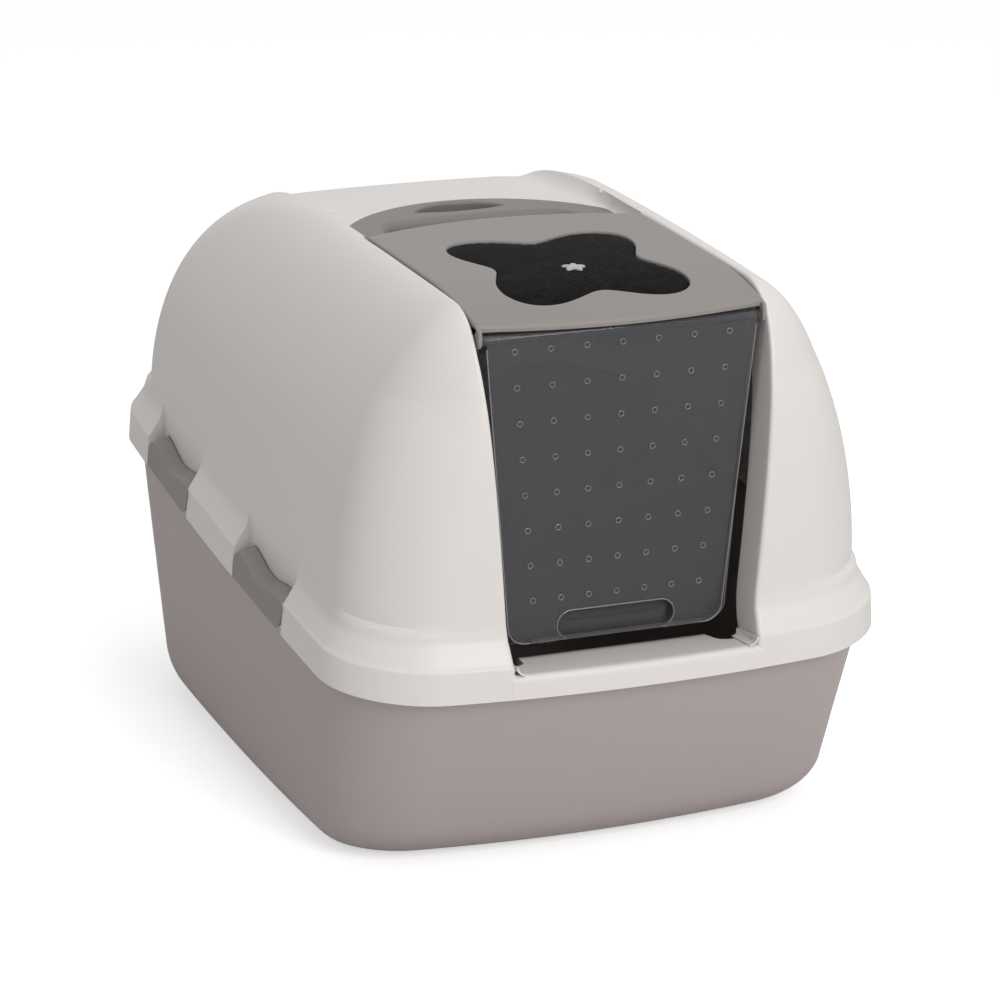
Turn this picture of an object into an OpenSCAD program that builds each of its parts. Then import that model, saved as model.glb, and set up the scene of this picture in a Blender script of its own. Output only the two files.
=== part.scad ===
// Hooded litter box with a front flap door.
// The front faces -Y, +X is to the right seen from the front, +Z is up.
// The origin is on the floor below the middle of the box.

/* [Body] */
// Width across the skirt of the hood
overall_w = 390; // [370:1:410]
// Length over the skirt of the hood
overall_l = 500; // [490:1:530]
// Height of the flat top of the hood
top_z = 371; // [366:1:386]
// Height of the seam between pan and hood at mid length
seam_z = 156; // [150:1:162]
// Tilt of the seam, higher at the back
seam_tilt = 6; // [5:0.25:7]
// How far the front bows forward at its middle
front_bow = 16; // [10:1:20]
// How far the back bows out at its middle
back_bow = 6; // [3:1:10]
// How far the sides bow out at their middle
side_bow = 6; // [3:1:8]

/* [Pan] */
// Wall of the pan
pan_wall = 3; // [2.4:0.1:3.6]
// Distance from the skirt's face in to the pan's face at the seam
pan_inset = 8.5; // [8:0.25:10]
// How far each side of the pan draws in down to the floor
pan_draw_side = 6; // [4:1:14]
// How far the front of the pan draws in down to the floor
pan_draw_front = 48; // [40:1:54]
// How far the back of the pan draws in down to the floor
pan_draw_back = 9; // [5:1:20]
// Rounding between the pan's floor and its walls
pan_fillet = 32; // [24:1:38]
// Corner radius at the front of the pan's foot
pan_corner_front = 56; // [48:1:64]
// Corner radius at the back of the pan's foot
pan_corner_back = 96; // [80:1:110]
// Height of the pan's rim above the skirt's lower edge
rim_h = 10; // [9:0.25:10.5]
// How far the rim's lip stands out from the pan's face
rim_lip = 4.5; // [4:0.25:4.75]
// Thickness of the rim's lip
rim_t = 3; // [2.4:0.2:3.4]

/* [Hood] */
// Wall of the hood
hood_wall = 2.5; // [2:0.1:3]
// Corner radius of the skirt at the front
skirt_corner_front = 64; // [56:1:72]
// Corner radius of the skirt at the back
skirt_corner_back = 50; // [44:1:60]
// Height of the band along the skirt's edge
band_h = 21; // [20:0.5:22]
// Height of the foot of the hood's walls above the skirt's edge
ledge_h = 35; // [34:0.5:38]
// Width of the ledge between the band and the walls
ledge_w = 11; // [10:0.5:12]
// Sharpness of the shoulder over the sides
side_power = 1.8; // [1.7:0.05:2]
// Sharpness of the shoulder over the front
front_power = 3; // [2.6:0.1:3.6]
// Sharpness of the shoulder over the back
back_power = 3.2; // [2.8:0.1:3.6]
// Distance from the origin back to where the flat top ends
top_back = 60; // [54:1:64]
// Distance from the front of the box back to where the flat top ends
top_setback = 64; // [58:1:70]
// Depth of the dished top between the shoulders, at its middle
dish_mid = 5; // [4:0.5:6]
// Depth of the dished top beside the shoulders
dish_side = 9; // [8:0.5:10]

/* [Channel] */
// Width between the cheeks at the flat top
channel_top_w = 197; // [195:0.5:200]
// Width between the cheeks at the sill
channel_sill_w = 166; // [164:0.5:168]
// Height of the upright part of the cheeks below the flat top
channel_upright = 26; // [22:0.5:28]
// Depth of the cheeks behind the front of the hood
cheek_depth = 29; // [27:0.5:31]
// Depth of the cheeks below the flat top
cheek_drop = 27; // [25:0.5:30]
// Height of the sill's crest above the skirt's front edge
sill_h = 15; // [14.5:0.5:16]
// Fall of the sill from its crest to its inner edge
sill_fall = 4; // [3:0.5:6]
// Depth of the sill from front to back
sill_depth = 44; // [42:0.5:46]
// Radius of the round cut in each inner corner of the sill
relief_r = 9; // [7:0.5:10]

/* [Lid] */
// Gap at each side of the lid
lid_gap = 0.9; // [0.7:0.1:1.2]
// Wall of the lid
lid_t = 2.5; // [2.2:0.1:2.8]
// Depth of the lid's rim
lid_rim = 9; // [8:0.5:10]
// Distance from the origin back to the middle of the lid's back edge
lid_back = 3; // [1:0.5:4]
// How far the lid's back edge bulges behind its corners
lid_bulge = 21; // [19:0.5:23]
// Distance from the front of the box back to the middle of the lid's front edge
lid_setback = 37; // [36:0.5:39]
// How far the lid's front edge bows forward
lid_front_bow = 7; // [5:0.5:8]
// Droop of the lid from its flat part to its front edge
lid_droop = 12; // [11:0.5:13]
// Depth of the lip under the lid's front edge
lid_lip = 3.5; // [3:0.25:4]
// Radius of the lid's hinge stubs
lid_pin_r = 2.2; // [1.8:0.1:2.4]
// Length of each hinge stub inside the hood
lid_pin_l = 2.6; // [2:0.1:3]
// Depth of the lid's hinge axis below the flat top
lid_pin_drop = 4; // [3.8:0.1:4.6]
// Thickness of each ear that carries the door
ear_t = 2.6; // [2.4:0.1:2.7]

/* [Door] */
// Height of the door from its hinge axis to its lower edge
door_h = 202.5; // [198:0.5:204]
// Width of the door's face just below the hinge
door_face_top_w = 176; // [172:1:176]
// Width of the door's face at its lower edge
door_face_low_w = 146; // [142:1:150]
// Thickness of the door
door_t = 2; // [1.6:0.1:2.4]
// Depth of the rim turned back along the door's edges
door_rim = 10; // [8:0.5:11]
// How far that rim flares outward at the sides
door_flare = 6.4; // [5:0.2:6.4]
// How far that rim flares down at the bottom
door_flare_low = 2.5; // [2:0.1:3]
// Radius of the lower corners of the door
door_corner = 12; // [9:1:15]
// Radius of the round bar along the top of the door
door_bar_r = 3.6; // [3.2:0.1:3.8]
// Radius of the door's hinge stubs
door_pin_r = 2.4; // [2:0.1:2.8]
// Length of the recessed pull
pull_w = 80; // [70:1:90]
// Height of the recessed pull
pull_h = 18; // [16:1:20]
// Depth of the recessed pull
pull_depth = 7; // [5:0.5:8]
// Height of the pull above the door's lower edge
pull_up = 3; // [2.5:0.25:5]
// Width of each dimple on the door
dimple_w = 4.4; // [3.6:0.2:5]
// Depth of each dimple
dimple_depth = 0.7; // [0.5:0.1:0.9]
// Distance from one row of dimples to the next
dimple_pitch = 23.4; // [22:0.2:24]
// Distance from the top row of dimples up to the hinge axis
dimple_drop = 8; // [7:0.5:9]
// Distance from the outer dimples in to the middle, at the top row
dimple_reach = 73; // [68:1:76]

/* [Handle] */
// Distance from the origin back to the middle of the handle's far edge
handle_back = 66; // [62:1:70]
// How far the handle's far edge bulges behind its ends
handle_bulge = 42; // [38:1:46]
// Gap between the lid's back edge and the handle
handle_gap = 2.3; // [2.2:0.1:2.8]
// Wall of the handle
handle_wall = 3; // [2.6:0.1:3.4]
// Depth of the handle's well below the flat top
well_depth = 33; // [30:1:36]
// Length of the well
well_w = 172; // [166:1:176]
// Thickness of the grip bar from front to back
bar_w = 14; // [12:0.5:15]
// Height of the grip bar
bar_h = 12; // [10:0.5:13]
// Distance from the origin back to the middle of the grip bar
bar_y = 17; // [16:0.5:18]
// Length of the lens-shaped opening behind the bar
lens_w = 96; // [88:1:104]

/* [Filter] */
// Mean radius of the four-lobed pad
pad_r = 64.5; // [62:0.5:68]
// How far the lobes stand out and the waists draw in
pad_lobe = 15; // [12:1:16]
// Stretch of the pad from front to back
pad_stretch = 1.1; // [1.06:0.01:1.16]
// Thickness of the pad
pad_t = 6; // [5:0.5:6.5]
// Distance from the origin forward to the pad's middle
pad_y = 119; // [118:0.5:120]
// Gap round the pad in its seat
pad_gap = 0.4; // [0.3:0.1:0.8]
// Radius of the star-shaped stud that holds the pad
stud_r = 8; // [7:0.5:9]
// Height of the stud's star
stud_t = 1.6; // [1.2:0.1:2]
// Radius of the stud's stem
stem_r = 2.5; // [2:0.1:3]
// Width of the vent slots under the pad
vent_w = 4; // [3:0.5:5]

/* [Clips] */
// Length of each clip
clip_l = 90; // [86:1:94]
// Distance from the origin forward to the front clips
clip_front_y = 75; // [72:1:78]
// Distance from the origin back to the back clips
clip_back_y = 112; // [108:1:114]
// Height of the clip's top at its outer edge, above the seam
clip_h = 21; // [20.5:0.25:22]
// Rise of the clip's top towards the hood's wall
clip_rise = 4; // [3:0.5:5]
// Depth of the finger scoop across the clip's top
clip_scoop = 5.5; // [4:0.5:6]
// Thickness of the clip's face
clip_t = 3.2; // [3:0.1:3.4]
// Radius of the round upper back corner and lower front corner
clip_corner = 11; // [8:0.5:12]
// Radius of the barrel along the foot of each clip
clip_barrel_r = 2.4; // [2.2:0.1:2.6]
// Radius of the clip's hinge pin
clip_pin_r = 1.3; // [1.1:0.1:1.4]
// Length of each lug that carries the pin
lug_l = 6; // [5:0.5:7]
// Length of the pocket in front of each clip
pocket_l = 13; // [11:0.5:14]

/* [Hidden] */
$fn = 48;
hw = overall_w / 2;
hl = overall_l / 2;
rise = tan(seam_tilt);
corner_steps = 7;
edge_steps = 5;
dome_steps = 14;
run_fit = 0.08; // radial clearance of every hinge stub
part_gap = 0.4; // clearance between pieces on different joints
eps = 0.01;
far = overall_l; // longer than any piece is from the origin
// Hood walls
wall_in = ledge_w + 1.5;
foot_h = ledge_h + 9;
foot_z = seam_z + foot_h;
foot_w = hw - wall_in;
foot_f = hl - ledge_w;
foot_b = hl - wall_in - 1;
top_half = channel_top_w / 2;
top_w = top_half + 0.5;
top_front = hl - top_setback;
skirt_draft = 1.4; // how far the band leans in
front_ledge = 5; // width of the ledge along the front
inside_draft = 1.2;
dish_edge = 2;
dish_slope = 8;
// Channel
front_z = seam_z - rise * hl;
sill_z = front_z + sill_h;
sill_front = hl - 4;
sill_back = sill_front - sill_depth + 2;
sill_t = sill_h - rim_h - 3; // keeps the sill clear of the pan's rim
sill_lip = 5;
rim_in = hl - pan_inset - pan_wall - front_bow / 3;
cheek_low = sill_z - 12;
upright_z = top_z - channel_upright;
function channel_half(z) = z > upright_z ? top_half : channel_sill_w / 2
    + (channel_top_w - channel_sill_w) / 2 * (z - sill_z) / (upright_z - sill_z);
// Lid
lid_front = hl - lid_setback;
lid_flat = lid_front - 103; // where the lid starts to droop
lid_seat = 3; // how far the seat's floor is below the lid's rim
lid_edge_z = top_z - lid_droop;
lid_half = top_half - lid_gap;
lid_corner_y = lid_back - lid_bulge;
lid_r = (pow(lid_half, 2) + pow(lid_bulge, 2)) / (2 * lid_bulge);
lid_front_r = (pow(lid_half, 2) + pow(lid_front_bow, 2)) / (2 * lid_front_bow);
lid_axis_y = lid_corner_y - 3;
lid_axis_z = top_z - lid_pin_drop;
// Door
door_axis_y = 7 - lid_front;
door_axis_z = lid_edge_z - 7.5;
door_face_y = door_axis_y - 3;
door_top_z = door_axis_z - 5;
door_low_z = door_axis_z - door_h;
ear_in = lid_half - ear_t;
ear_r = 4.8;
ear_reach = 20;
// Handle
handle_r = (pow(top_half, 2) + pow(handle_bulge, 2)) / (2 * handle_bulge);
handle_front_r = lid_r + handle_gap;
// Filter
seat_z = top_z - pad_t - 1;
stud_y = -pad_y - 11;
stud_sink = 0.5;
stem_fit = 0.05;
vent_pitch = 11;
// Clips, in a frame at the skirt's face that is tilted with the seam and turned with the side
clip_in = 12; // from the skirt's face in to the clip's inner face
notch_in = clip_in + 0.5;
pin_in = 5.8;
pin_h = 3.6;
shelf_h = rim_h + 2.6; // floor of each notch
clip_under = shelf_h + 0.6;
clip_foot = 1.7;
clip_low = 0.6; // lower edge of the face
clip_end_r = 4; // upper front corner
clip_web = 3.2; // thickness of the web between face and barrel
clip_gap = 0.2;
notch_out = 3.6; // from the skirt's face in to the pin's room
lug_in = 3.7; // from the skirt's face in to the lugs
lug_h = 3; // from the lug's lower edge to the pin
pocket_r = 4;

function lerp(a, b, t) = a + (b - a) * t;
function arc(cx, cy, r, a0, a1) = [for (i = [0:corner_steps])
    let (a = lerp(a0, a1, i / corner_steps)) [cx + r * cos(a), cy + r * sin(a)]];
function run(p, q) = [for (i = [1:edge_steps - 1]) p + (q - p) * i / edge_steps];
// Rounded rectangle of half width w, from -f to b, with corners rf and rb
function rounded(w, f, b, rf, rb) = concat(
    arc(w - rf, rf - f, rf, -90, 0), run([w, rf - f], [w, b - rb]),
    arc(w - rb, b - rb, rb, 0, 90), run([w - rb, b], [rb - w, b]),
    arc(rb - w, b - rb, rb, 90, 180), run([-w, b - rb], [-w, rf - f]),
    arc(rf - w, rf - f, rf, 180, 270), run([rf - w, -f], [w - rf, -f]));
// The same outline with its sides, front and back bowed
function bowed(p, w, f, b) = let (
    u = p[1] < 0 ? p[1] / f : p[1] / b,
    v = p[0] / w,
    bow = p[1] < 0 ? front_bow : -back_bow)
    [p[0] * (1 - side_bow * u * u / w), p[1] + bow * v * v * pow(u, 4)];
function ring(w, f, b, rf, rb, z, s) = [for (p = rounded(w, f, b, rf, rb))
    let (q = bowed(p, w, f, b)) [q[0], q[1], z + s * q[1]]];

// Solid skinned over rings of points that all run the same way round
module loft(rings) {
    n = len(rings[0]);
    m = len(rings);
    sides = [for (j = [0:m - 2], i = [0:n - 1], t = [0, 1])
        let (a = j * n + i, b = j * n + (i + 1) % n)
        t == 0 ? [a, a + n, b] : [b, a + n, b + n]];
    foot = [for (i = [0:n - 1]) i];
    cap = [for (i = [n - 1:-1:0]) (m - 1) * n + i];
    polyhedron([for (r = rings) each r], concat([foot], sides, [cap]));
}
// Prism along Y of a shape drawn in X and Z
module along_y(y0, y1) translate([0, y1, 0]) rotate([90, 0, 0]) linear_extrude(y1 - y0) children();
// Prism along X of a shape drawn in Y and Z
module along_x(x0, x1) translate([x0, 0, 0]) rotate([90, 0, 90]) linear_extrude(x1 - x0) children();
module both_sides() {
    children();
    mirror([1, 0, 0]) children();
}
// Frame of a clip on the right: X points out of the skirt, Y back along it, Z away from the seam
module at_clip(y) translate([0, 0, seam_z]) rotate([seam_tilt, 0, 0])
    translate([hw - side_bow * pow(y / hl, 2), y, 0])
    rotate([0, 0, atan(2 * side_bow * y / pow(hl, 2))]) children();
module pin_y(y0, y1, r) translate([-pin_in, y1, pin_h]) rotate([90, 0, 0]) cylinder(h = y1 - y0, r = r);
module rod_x(x0, x1, y, z, r) translate([x0, y, z]) rotate([0, 90, 0]) cylinder(h = x1 - x0, r = r);

// Ring of the pan at height z above the floor, drawn in by t
function pan_ring(z, t) = let (k = z / seam_z)
    ring(hw - pan_inset - pan_draw_side * (1 - k) - t,
        hl - pan_inset - pan_draw_front * (1 - k) - t,
        hl - pan_inset - pan_draw_back * (1 - k) - t,
        max(lerp(pan_corner_front, skirt_corner_front - pan_inset, k) - t, 6),
        max(lerp(pan_corner_back, skirt_corner_back - pan_inset, k) - t, 6), z, rise * k);
function rim_ring(h, out) = ring(hw - pan_inset + out, hl - pan_inset + out, hl - pan_inset + out,
    skirt_corner_front - pan_inset + out, skirt_corner_back - pan_inset + out, seam_z + h, rise);
function bowl_rings(t) = concat(
    [for (a = [0:15:90]) pan_ring(t + (pan_fillet - t) * (1 - cos(a)), t + (pan_fillet - t) * (1 - sin(a)))],
    [for (k = [0.4, 0.6, 0.8, 1]) pan_ring(seam_z * k, t)]);

// Two lugs under the rim that carry the pin of one clip
module clip_lugs(y) at_clip(y) for (s = [-1, 1]) difference() {
    translate([-pan_inset - 1, s * (clip_l + lug_l + 2 * part_gap) / 2 - lug_l / 2, pin_h - lug_h])
        cube([pan_inset + 1 - lug_in, lug_l, rim_h - rim_t + clip_gap - pin_h + lug_h]);
    pin_y(-clip_l, clip_l, clip_pin_r + run_fit);
}
module pan() color([0.55, 0.52, 0.5]) {
    difference() {
        union() {
            loft(concat(bowl_rings(0), [rim_ring(rim_h - rim_t, 0)]));
            loft([rim_ring(rim_h - rim_t - eps, -pan_wall / 2), rim_ring(rim_h - rim_t, rim_lip),
                rim_ring(rim_h, rim_lip)]);
        }
        loft(concat(bowl_rings(pan_wall), [rim_ring(rim_h + 1, -pan_wall)]));
    }
    both_sides() {
        clip_lugs(-clip_front_y);
        clip_lugs(clip_back_y);
    }
}

// Ring of the hood's skirt, h above the seam, drawn in by t at the sides, front and back
function skirt_ring(h, t, tf, tb) = ring(hw - t, hl - tf, hl - tb,
    max(skirt_corner_front - t, 8), max(skirt_corner_back - t, 8), seam_z + h, rise);
// Ring of the hood's dome at angle a, with the wall taken off as t
function dome_ring(a, t) = let (
    k = pow(sin(a), 2 / side_power),
    w = top_w + (foot_w - top_w) * pow(cos(a), 2 / side_power) - t,
    f = top_front + (foot_f - top_front) * pow(1 - pow(k, front_power), 1 / front_power) - t,
    b = top_back + (foot_b - top_back) * pow(1 - pow(k, back_power), 1 / back_power) - t)
    ring(w, f, b, min(skirt_corner_front - 4, w - top_w + 6 + t), lerp(skirt_corner_back, top_back - 4, k),
        lerp(foot_z, top_z - t, k), rise * (1 - k));
function dome(t) = [for (i = [0:dome_steps]) dome_ring(90 * i / dome_steps, t)];

module hood_outside() loft(concat([
    skirt_ring(0, 0, 0, 0), skirt_ring(band_h, skirt_draft, skirt_draft, skirt_draft),
    skirt_ring(ledge_h, ledge_w, front_ledge, ledge_w)], dome(0)));
module hood_inside() {
    a = hood_wall + inside_draft;
    b = pan_inset + 0.5;
    c = wall_in + hood_wall;
    loft(concat([skirt_ring(-2, hood_wall, hood_wall, hood_wall), skirt_ring(rim_h, a, a, a),
        skirt_ring(rim_h + eps, b, b, b), skirt_ring(ledge_h, c, ledge_w + hood_wall, c + 1)],
        dome(hood_wall)));
}
// Everything above the dished top, lowered by t and widened by t
module dish(t) {
    w = top_half - dish_edge + t;
    along_y(top_back - handle_bulge, far) polygon([
        [-w, far], [-w, top_z - t],
        for (i = [-1:0.25:1]) [i * (w - dish_slope), top_z - lerp(dish_mid, dish_side, i * i) - t],
        [w, top_z - t], [w, far]]);
}
// Space between the cheeks, open to the front and the top, down to the sill
module channel() intersection() {
    along_y(-far, lid_back) polygon([
        [-channel_half(front_z), front_z], [channel_half(front_z), front_z],
        [top_half, upright_z], [top_half, far], [-top_half, far], [-top_half, upright_z]]);
    along_x(-hw, hw) polygon([
        [-far, sill_z], [-sill_front, sill_z], [-sill_back, sill_z - sill_fall],
        [hl, sill_z - sill_fall], [hl, far], [-far, far]]);
}
// Space that the handle fills, with a gap of g round it
module handle_space(z0, z1, g) translate([0, 0, z0]) linear_extrude(z1 - z0) intersection() {
    translate([0, handle_back - handle_r]) circle(r = handle_r - g, $fn = 180);
    translate([-top_half + g, lid_corner_y]) square([channel_top_w - 2 * g, far]);
}
// Cheek along one side of the channel, as deep as the fold of the hood
module cheek() difference() {
    intersection() {
        hood_outside();
        along_y(-far, handle_back) polygon([
            [channel_half(cheek_low), cheek_low], [top_half, upright_z], [top_half, top_z],
            [top_half + 2 * hood_wall, top_z], [top_half + hood_wall, upright_z],
            [channel_half(cheek_low) + hood_wall, cheek_low]]);
    }
    along_x(0, hw) polygon([
        [cheek_depth - foot_f, 0], [cheek_depth - foot_f, top_z - cheek_drop],
        [far, top_z - cheek_drop], [far, 0]]);
    // Room for the pan's rim
    along_x(0, hw) polygon([[-far, 0], [-far, sill_z - sill_t], [-rim_in, sill_z - sill_t], [-rim_in, 0]]);
}
module sill() difference() {
    along_x(-channel_sill_w / 2 - 2, channel_sill_w / 2 + 2) polygon([
        [-sill_front, sill_z - sill_t], [-sill_front, sill_z], [-sill_back, sill_z - sill_fall],
        [-sill_back, sill_z - sill_fall - sill_lip], [-sill_back - sill_t, sill_z - sill_fall - sill_lip],
        [-sill_back - sill_t, sill_z - sill_fall - sill_t], [4 - sill_front, sill_z - sill_t]]);
    both_sides() translate([channel_sill_w / 2 - relief_r + 1, -sill_back - relief_r - 1, 0])
        cylinder(h = top_z, r = relief_r);
}
// Notch for one clip and the pocket in front of it
module clip_notch(y) at_clip(y) {
    l = clip_l + 2 * part_gap;
    translate([0, l / 2, 0]) rotate([90, 0, 0]) linear_extrude(l) polygon([
        [-notch_out, -band_h], [-notch_out, shelf_h], [-notch_in, shelf_h],
        [-notch_in, foot_h], [notch_in, foot_h], [notch_in, -band_h]]);
    translate([part_gap - lug_in - pan_inset, -l / 2 - lug_l, -band_h])
        cube([pan_inset, l + 2 * lug_l, band_h + rim_h - rim_t + 2 * clip_gap]);
    translate([-notch_in, pocket_r - l / 2 - pocket_l, clip_h + 1]) cube([2 * pocket_r, pocket_l, ledge_h]);
    translate([pocket_r - notch_in, pocket_r - l / 2 - pocket_l, clip_h + 1])
        cylinder(h = ledge_h, r = pocket_r);
}
// Thick place in the hood's wall behind one clip
module clip_pad(y) at_clip(y) translate([-notch_in - 3, -clip_l / 2 - pocket_l - 4, rim_h + 0.2])
    cube([7, clip_l + pocket_l + 8, ledge_h - rim_h - 2]);

module hood() color([0.85, 0.84, 0.82]) difference() {
    union() {
        difference() {
            hood_outside();
            difference() {
                hood_inside();
                dish(hood_wall);
            }
        }
        both_sides() cheek();
        sill();
        both_sides() {
            clip_pad(-clip_front_y);
            clip_pad(clip_back_y);
        }
    }
    channel();
    handle_space(top_z - well_depth - 20, top_z + 20, 0);
    dish(0);
    both_sides() {
        clip_notch(-clip_front_y);
        clip_notch(clip_back_y);
        rod_x(top_half - 2, top_half + lid_pin_l, lid_axis_y, lid_axis_z, lid_pin_r + run_fit);
    }
}

module handle() color([0.5, 0.47, 0.45]) {
    end_y = lid_corner_y + handle_gap;
    difference() {
        handle_space(top_z - well_depth, top_z, 0.3);
        along_x(-hw, hw) polygon([
            [end_y, top_z], [handle_back + 2, top_z - dish_mid], [handle_back + 2, far], [end_y, far]]);
        // Follows the lid's back edge
        translate([0, lid_back - lid_r, 0]) cylinder(h = far, r = handle_front_r, $fn = 180);
        // Well under the bar
        translate([0, 0, top_z - well_depth + handle_wall])
            linear_extrude(well_depth - 2 * handle_wall - dish_mid) well_plan(handle_wall);
        // Opening in front of the bar
        translate([0, 0, top_z - well_depth + handle_wall]) linear_extrude(well_depth) intersection() {
            well_plan(handle_wall);
            translate([-well_w / 2, -far]) square([well_w, far + bar_y - bar_w / 2 + 1]);
        }
        // Lens-shaped opening behind the bar
        translate([0, 0, top_z - well_depth + handle_wall]) linear_extrude(well_depth) intersection() {
            well_plan(handle_wall);
            translate([-hw, bar_y]) square([overall_w, far]);
            translate([0, handle_back - handle_wall - lens_r()]) circle(r = lens_r(), $fn = 120);
        }
        // Lowers the front wall below the lid's edge
        translate([handle_wall * 3 - well_w / 2, -far, top_z - lid_rim])
            cube([well_w - 6 * handle_wall, far + bar_y - bar_w, far]);
    }
    translate([0, bar_y, top_z - bar_h]) rotate([90, 0, 90])
        linear_extrude(well_w, center = true) bar_section();
}
function lens_r() = let (d = handle_back - handle_wall - bar_y) (pow(lens_w / 2, 2) + d * d) / (2 * d);
// Plan of the well, t inside the handle's outline
module well_plan(t) difference() {
    intersection() {
        translate([0, handle_back - handle_r]) circle(r = handle_r - t, $fn = 180);
        translate([-well_w / 2, lid_corner_y]) square([well_w, far]);
    }
    translate([0, lid_back - lid_r]) circle(r = handle_front_r + t / 2, $fn = 180);
}
// Rounded section of the grip bar
module bar_section() {
    r = bar_h / 3;
    for (y = [r - bar_w / 2, bar_w / 2 - r], z = [r, bar_h - r]) translate([y, z]) circle(r = r);
    translate([r - bar_w / 2, 0]) square([bar_w - 2 * r, bar_h]);
    translate([-bar_w / 2, r]) square([bar_w, bar_h - 2 * r]);
}

// Height of the lid's top at y, drooping towards the front
function lid_top(y) = y > -lid_flat ? top_z
    : top_z - lid_droop * pow((-y - lid_flat) / (lid_front - lid_flat), 2.6);
function lid_line(dz) = [for (y = [-lid_front - 2:6:lid_back + 9]) [y, lid_top(y) - dz]];
// Block under the lid's top from dz to depth, its plan drawn in by t
module lid_block(t, dz, depth) intersection() {
    along_x(-lid_half + t, lid_half - t) polygon(concat(lid_line(dz),
        [for (i = [len(lid_line(0)) - 1:-1:0]) lid_line(depth)[i]]));
    translate([0, lid_back - lid_r, 0]) cylinder(h = far, r = lid_r - t, $fn = 180);
    translate([0, lid_front_r - lid_front, 0]) cylinder(h = far, r = lid_front_r - t, $fn = 240);
}
// Outline of the pad and of its seat, g larger all round
module clover(g) polygon([for (a = [0:5:355])
    let (r = pad_r - pad_lobe * cos(4 * a) + g) [r * cos(a), r * pad_stretch * sin(a) - pad_y]]);

module lid() color([0.58, 0.56, 0.54]) difference() {
    union() {
        difference() {
            lid_block(0, 0, lid_rim);
            lid_block(lid_t, lid_t, 2 * lid_rim);
        }
        intersection() {
            lid_block(lid_t / 2, 0, lid_rim + lid_seat);
            linear_extrude(far) clover(pad_gap + lid_t);
        }
        both_sides() {
            lid_ear();
            rod_x(lid_half - 2, top_half + lid_pin_l - part_gap, lid_axis_y, lid_axis_z, lid_pin_r);
        }
    }
    // Seat of the pad
    intersection() {
        translate([0, 0, -1]) lid_block(-5, -5, pad_t - 1);
        linear_extrude(far) clover(pad_gap);
    }
    // Vent slots through the seat's floor
    for (i = [-4:4]) if (i != 0) translate([i * vent_pitch - vent_w / 2, -pad_y - vent_l(i) / 2, 0])
        cube([vent_w, vent_l(i), top_z - pad_t + 1]);
    // Room for the door under the front edge
    translate([-ear_in, -lid_front + lid_t, 0])
        cube([2 * ear_in, ear_reach + 2, lid_edge_z - lid_t - clip_gap * 3]);
    translate([-hw, -far, 0]) cube([overall_w, far - lid_front + lid_t + 0.1, lid_edge_z - lid_lip]);
    both_sides() rod_x(ear_in - 1, lid_half + 1, door_axis_y, door_axis_z, door_pin_r + run_fit);
    translate([0, stud_y, 0]) cylinder(h = far, r = stem_r);
}
function vent_l(i) = pad_r * (abs(i) < 3 ? 1.33 : 0.9);
// Ear at one front corner of the lid, round the door's hinge stub
module lid_ear() {
    rod_x(ear_in, lid_half, door_axis_y, door_axis_z, ear_r);
    intersection() {
        along_x(ear_in, lid_half) polygon([
            [door_axis_y - ear_r * 0.9, door_axis_z], [door_axis_y - ear_r * 0.9, top_z],
            [door_axis_y + ear_reach, top_z], [door_axis_y + ear_r, door_axis_z]]);
        lid_block(0, 0, ear_reach * 1.5);
    }
}

// Half width of the door's face at height z
function door_half(z) =
    lerp(door_face_low_w, door_face_top_w, (z - door_low_z) / (door_top_z - door_low_z)) / 2;
// Outline of the door's rim at depth k, from 0 at the face to 1 at its back edge, drawn in by t
module door_plan(k, t) {
    r = door_corner - t;
    z0 = door_low_z + door_flare_low * (1 - k) + t;
    g = door_flare * k - t;
    lower = arc(door_half(z0 + r) + g - r, z0 + r, r, -90, 0);
    polygon(concat(lower, [[door_half(door_top_z) + g, door_top_z], [-door_half(door_top_z) - g, door_top_z]],
        [for (i = [len(lower) - 1:-1:0]) [-lower[i][0], lower[i][1]]]));
}
module pull_plan(g) {
    s = pull_w / 2 - pull_h / 2;
    z = door_low_z + pull_up + pull_h / 2;
    for (x = [-s, s]) translate([x, z]) circle(r = pull_h / 2 + g);
    translate([-s, z - pull_h / 2 - g]) square([2 * s, pull_h + 2 * g]);
}
module dimples() {
    r = (pow(dimple_w / 2, 2) + pow(dimple_depth, 2)) / (2 * dimple_depth);
    for (j = [0:7], i = [-3:3]) let (z = door_axis_z - dimple_drop - j * dimple_pitch)
        translate([i / 3 * (dimple_reach - (door_half(door_axis_z - dimple_drop) - door_half(z))),
            door_face_y - r + dimple_depth, z]) sphere(r = r, $fn = 32);
}
module door() color([0.25, 0.25, 0.27, 0.6]) {
    steps = 5;
    step = door_rim / steps;
    difference() {
        for (i = [0:steps - 1]) along_y(door_face_y + i * step, door_face_y + (i + 1) * step)
            door_plan((i + 1) / steps, 0);
        for (i = [0:steps - 1]) along_y(door_face_y + max(i * step, door_t), door_face_y + (i + 1) * step + 1)
            door_plan((i + 1) / steps, door_t);
        along_y(door_face_y - 1, door_face_y + door_t + 1) pull_plan(0);
        dimples();
    }
    difference() {
        along_y(door_face_y, door_face_y + pull_depth + door_t) pull_plan(door_t);
        along_y(door_face_y - 1, door_face_y + pull_depth) pull_plan(0);
    }
    rod_x(part_gap - ear_in, ear_in - part_gap, door_axis_y, door_axis_z, door_bar_r);
    translate([-door_half(door_top_z), door_face_y, door_top_z - 2])
        cube([2 * door_half(door_top_z), door_t, 4]);
    both_sides() rod_x(ear_in - 2, lid_half - 0.2, door_axis_y, door_axis_z, door_pin_r);
}

module filter_pad() color([0.13, 0.13, 0.13]) difference() {
    intersection() {
        translate([0, 0, -1]) lid_block(-5, -0.4, pad_t - 1 - eps);
        linear_extrude(far) clover(0);
    }
    translate([0, stud_y, 0]) cylinder(h = far, r = stem_r + clip_gap);
}
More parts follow.
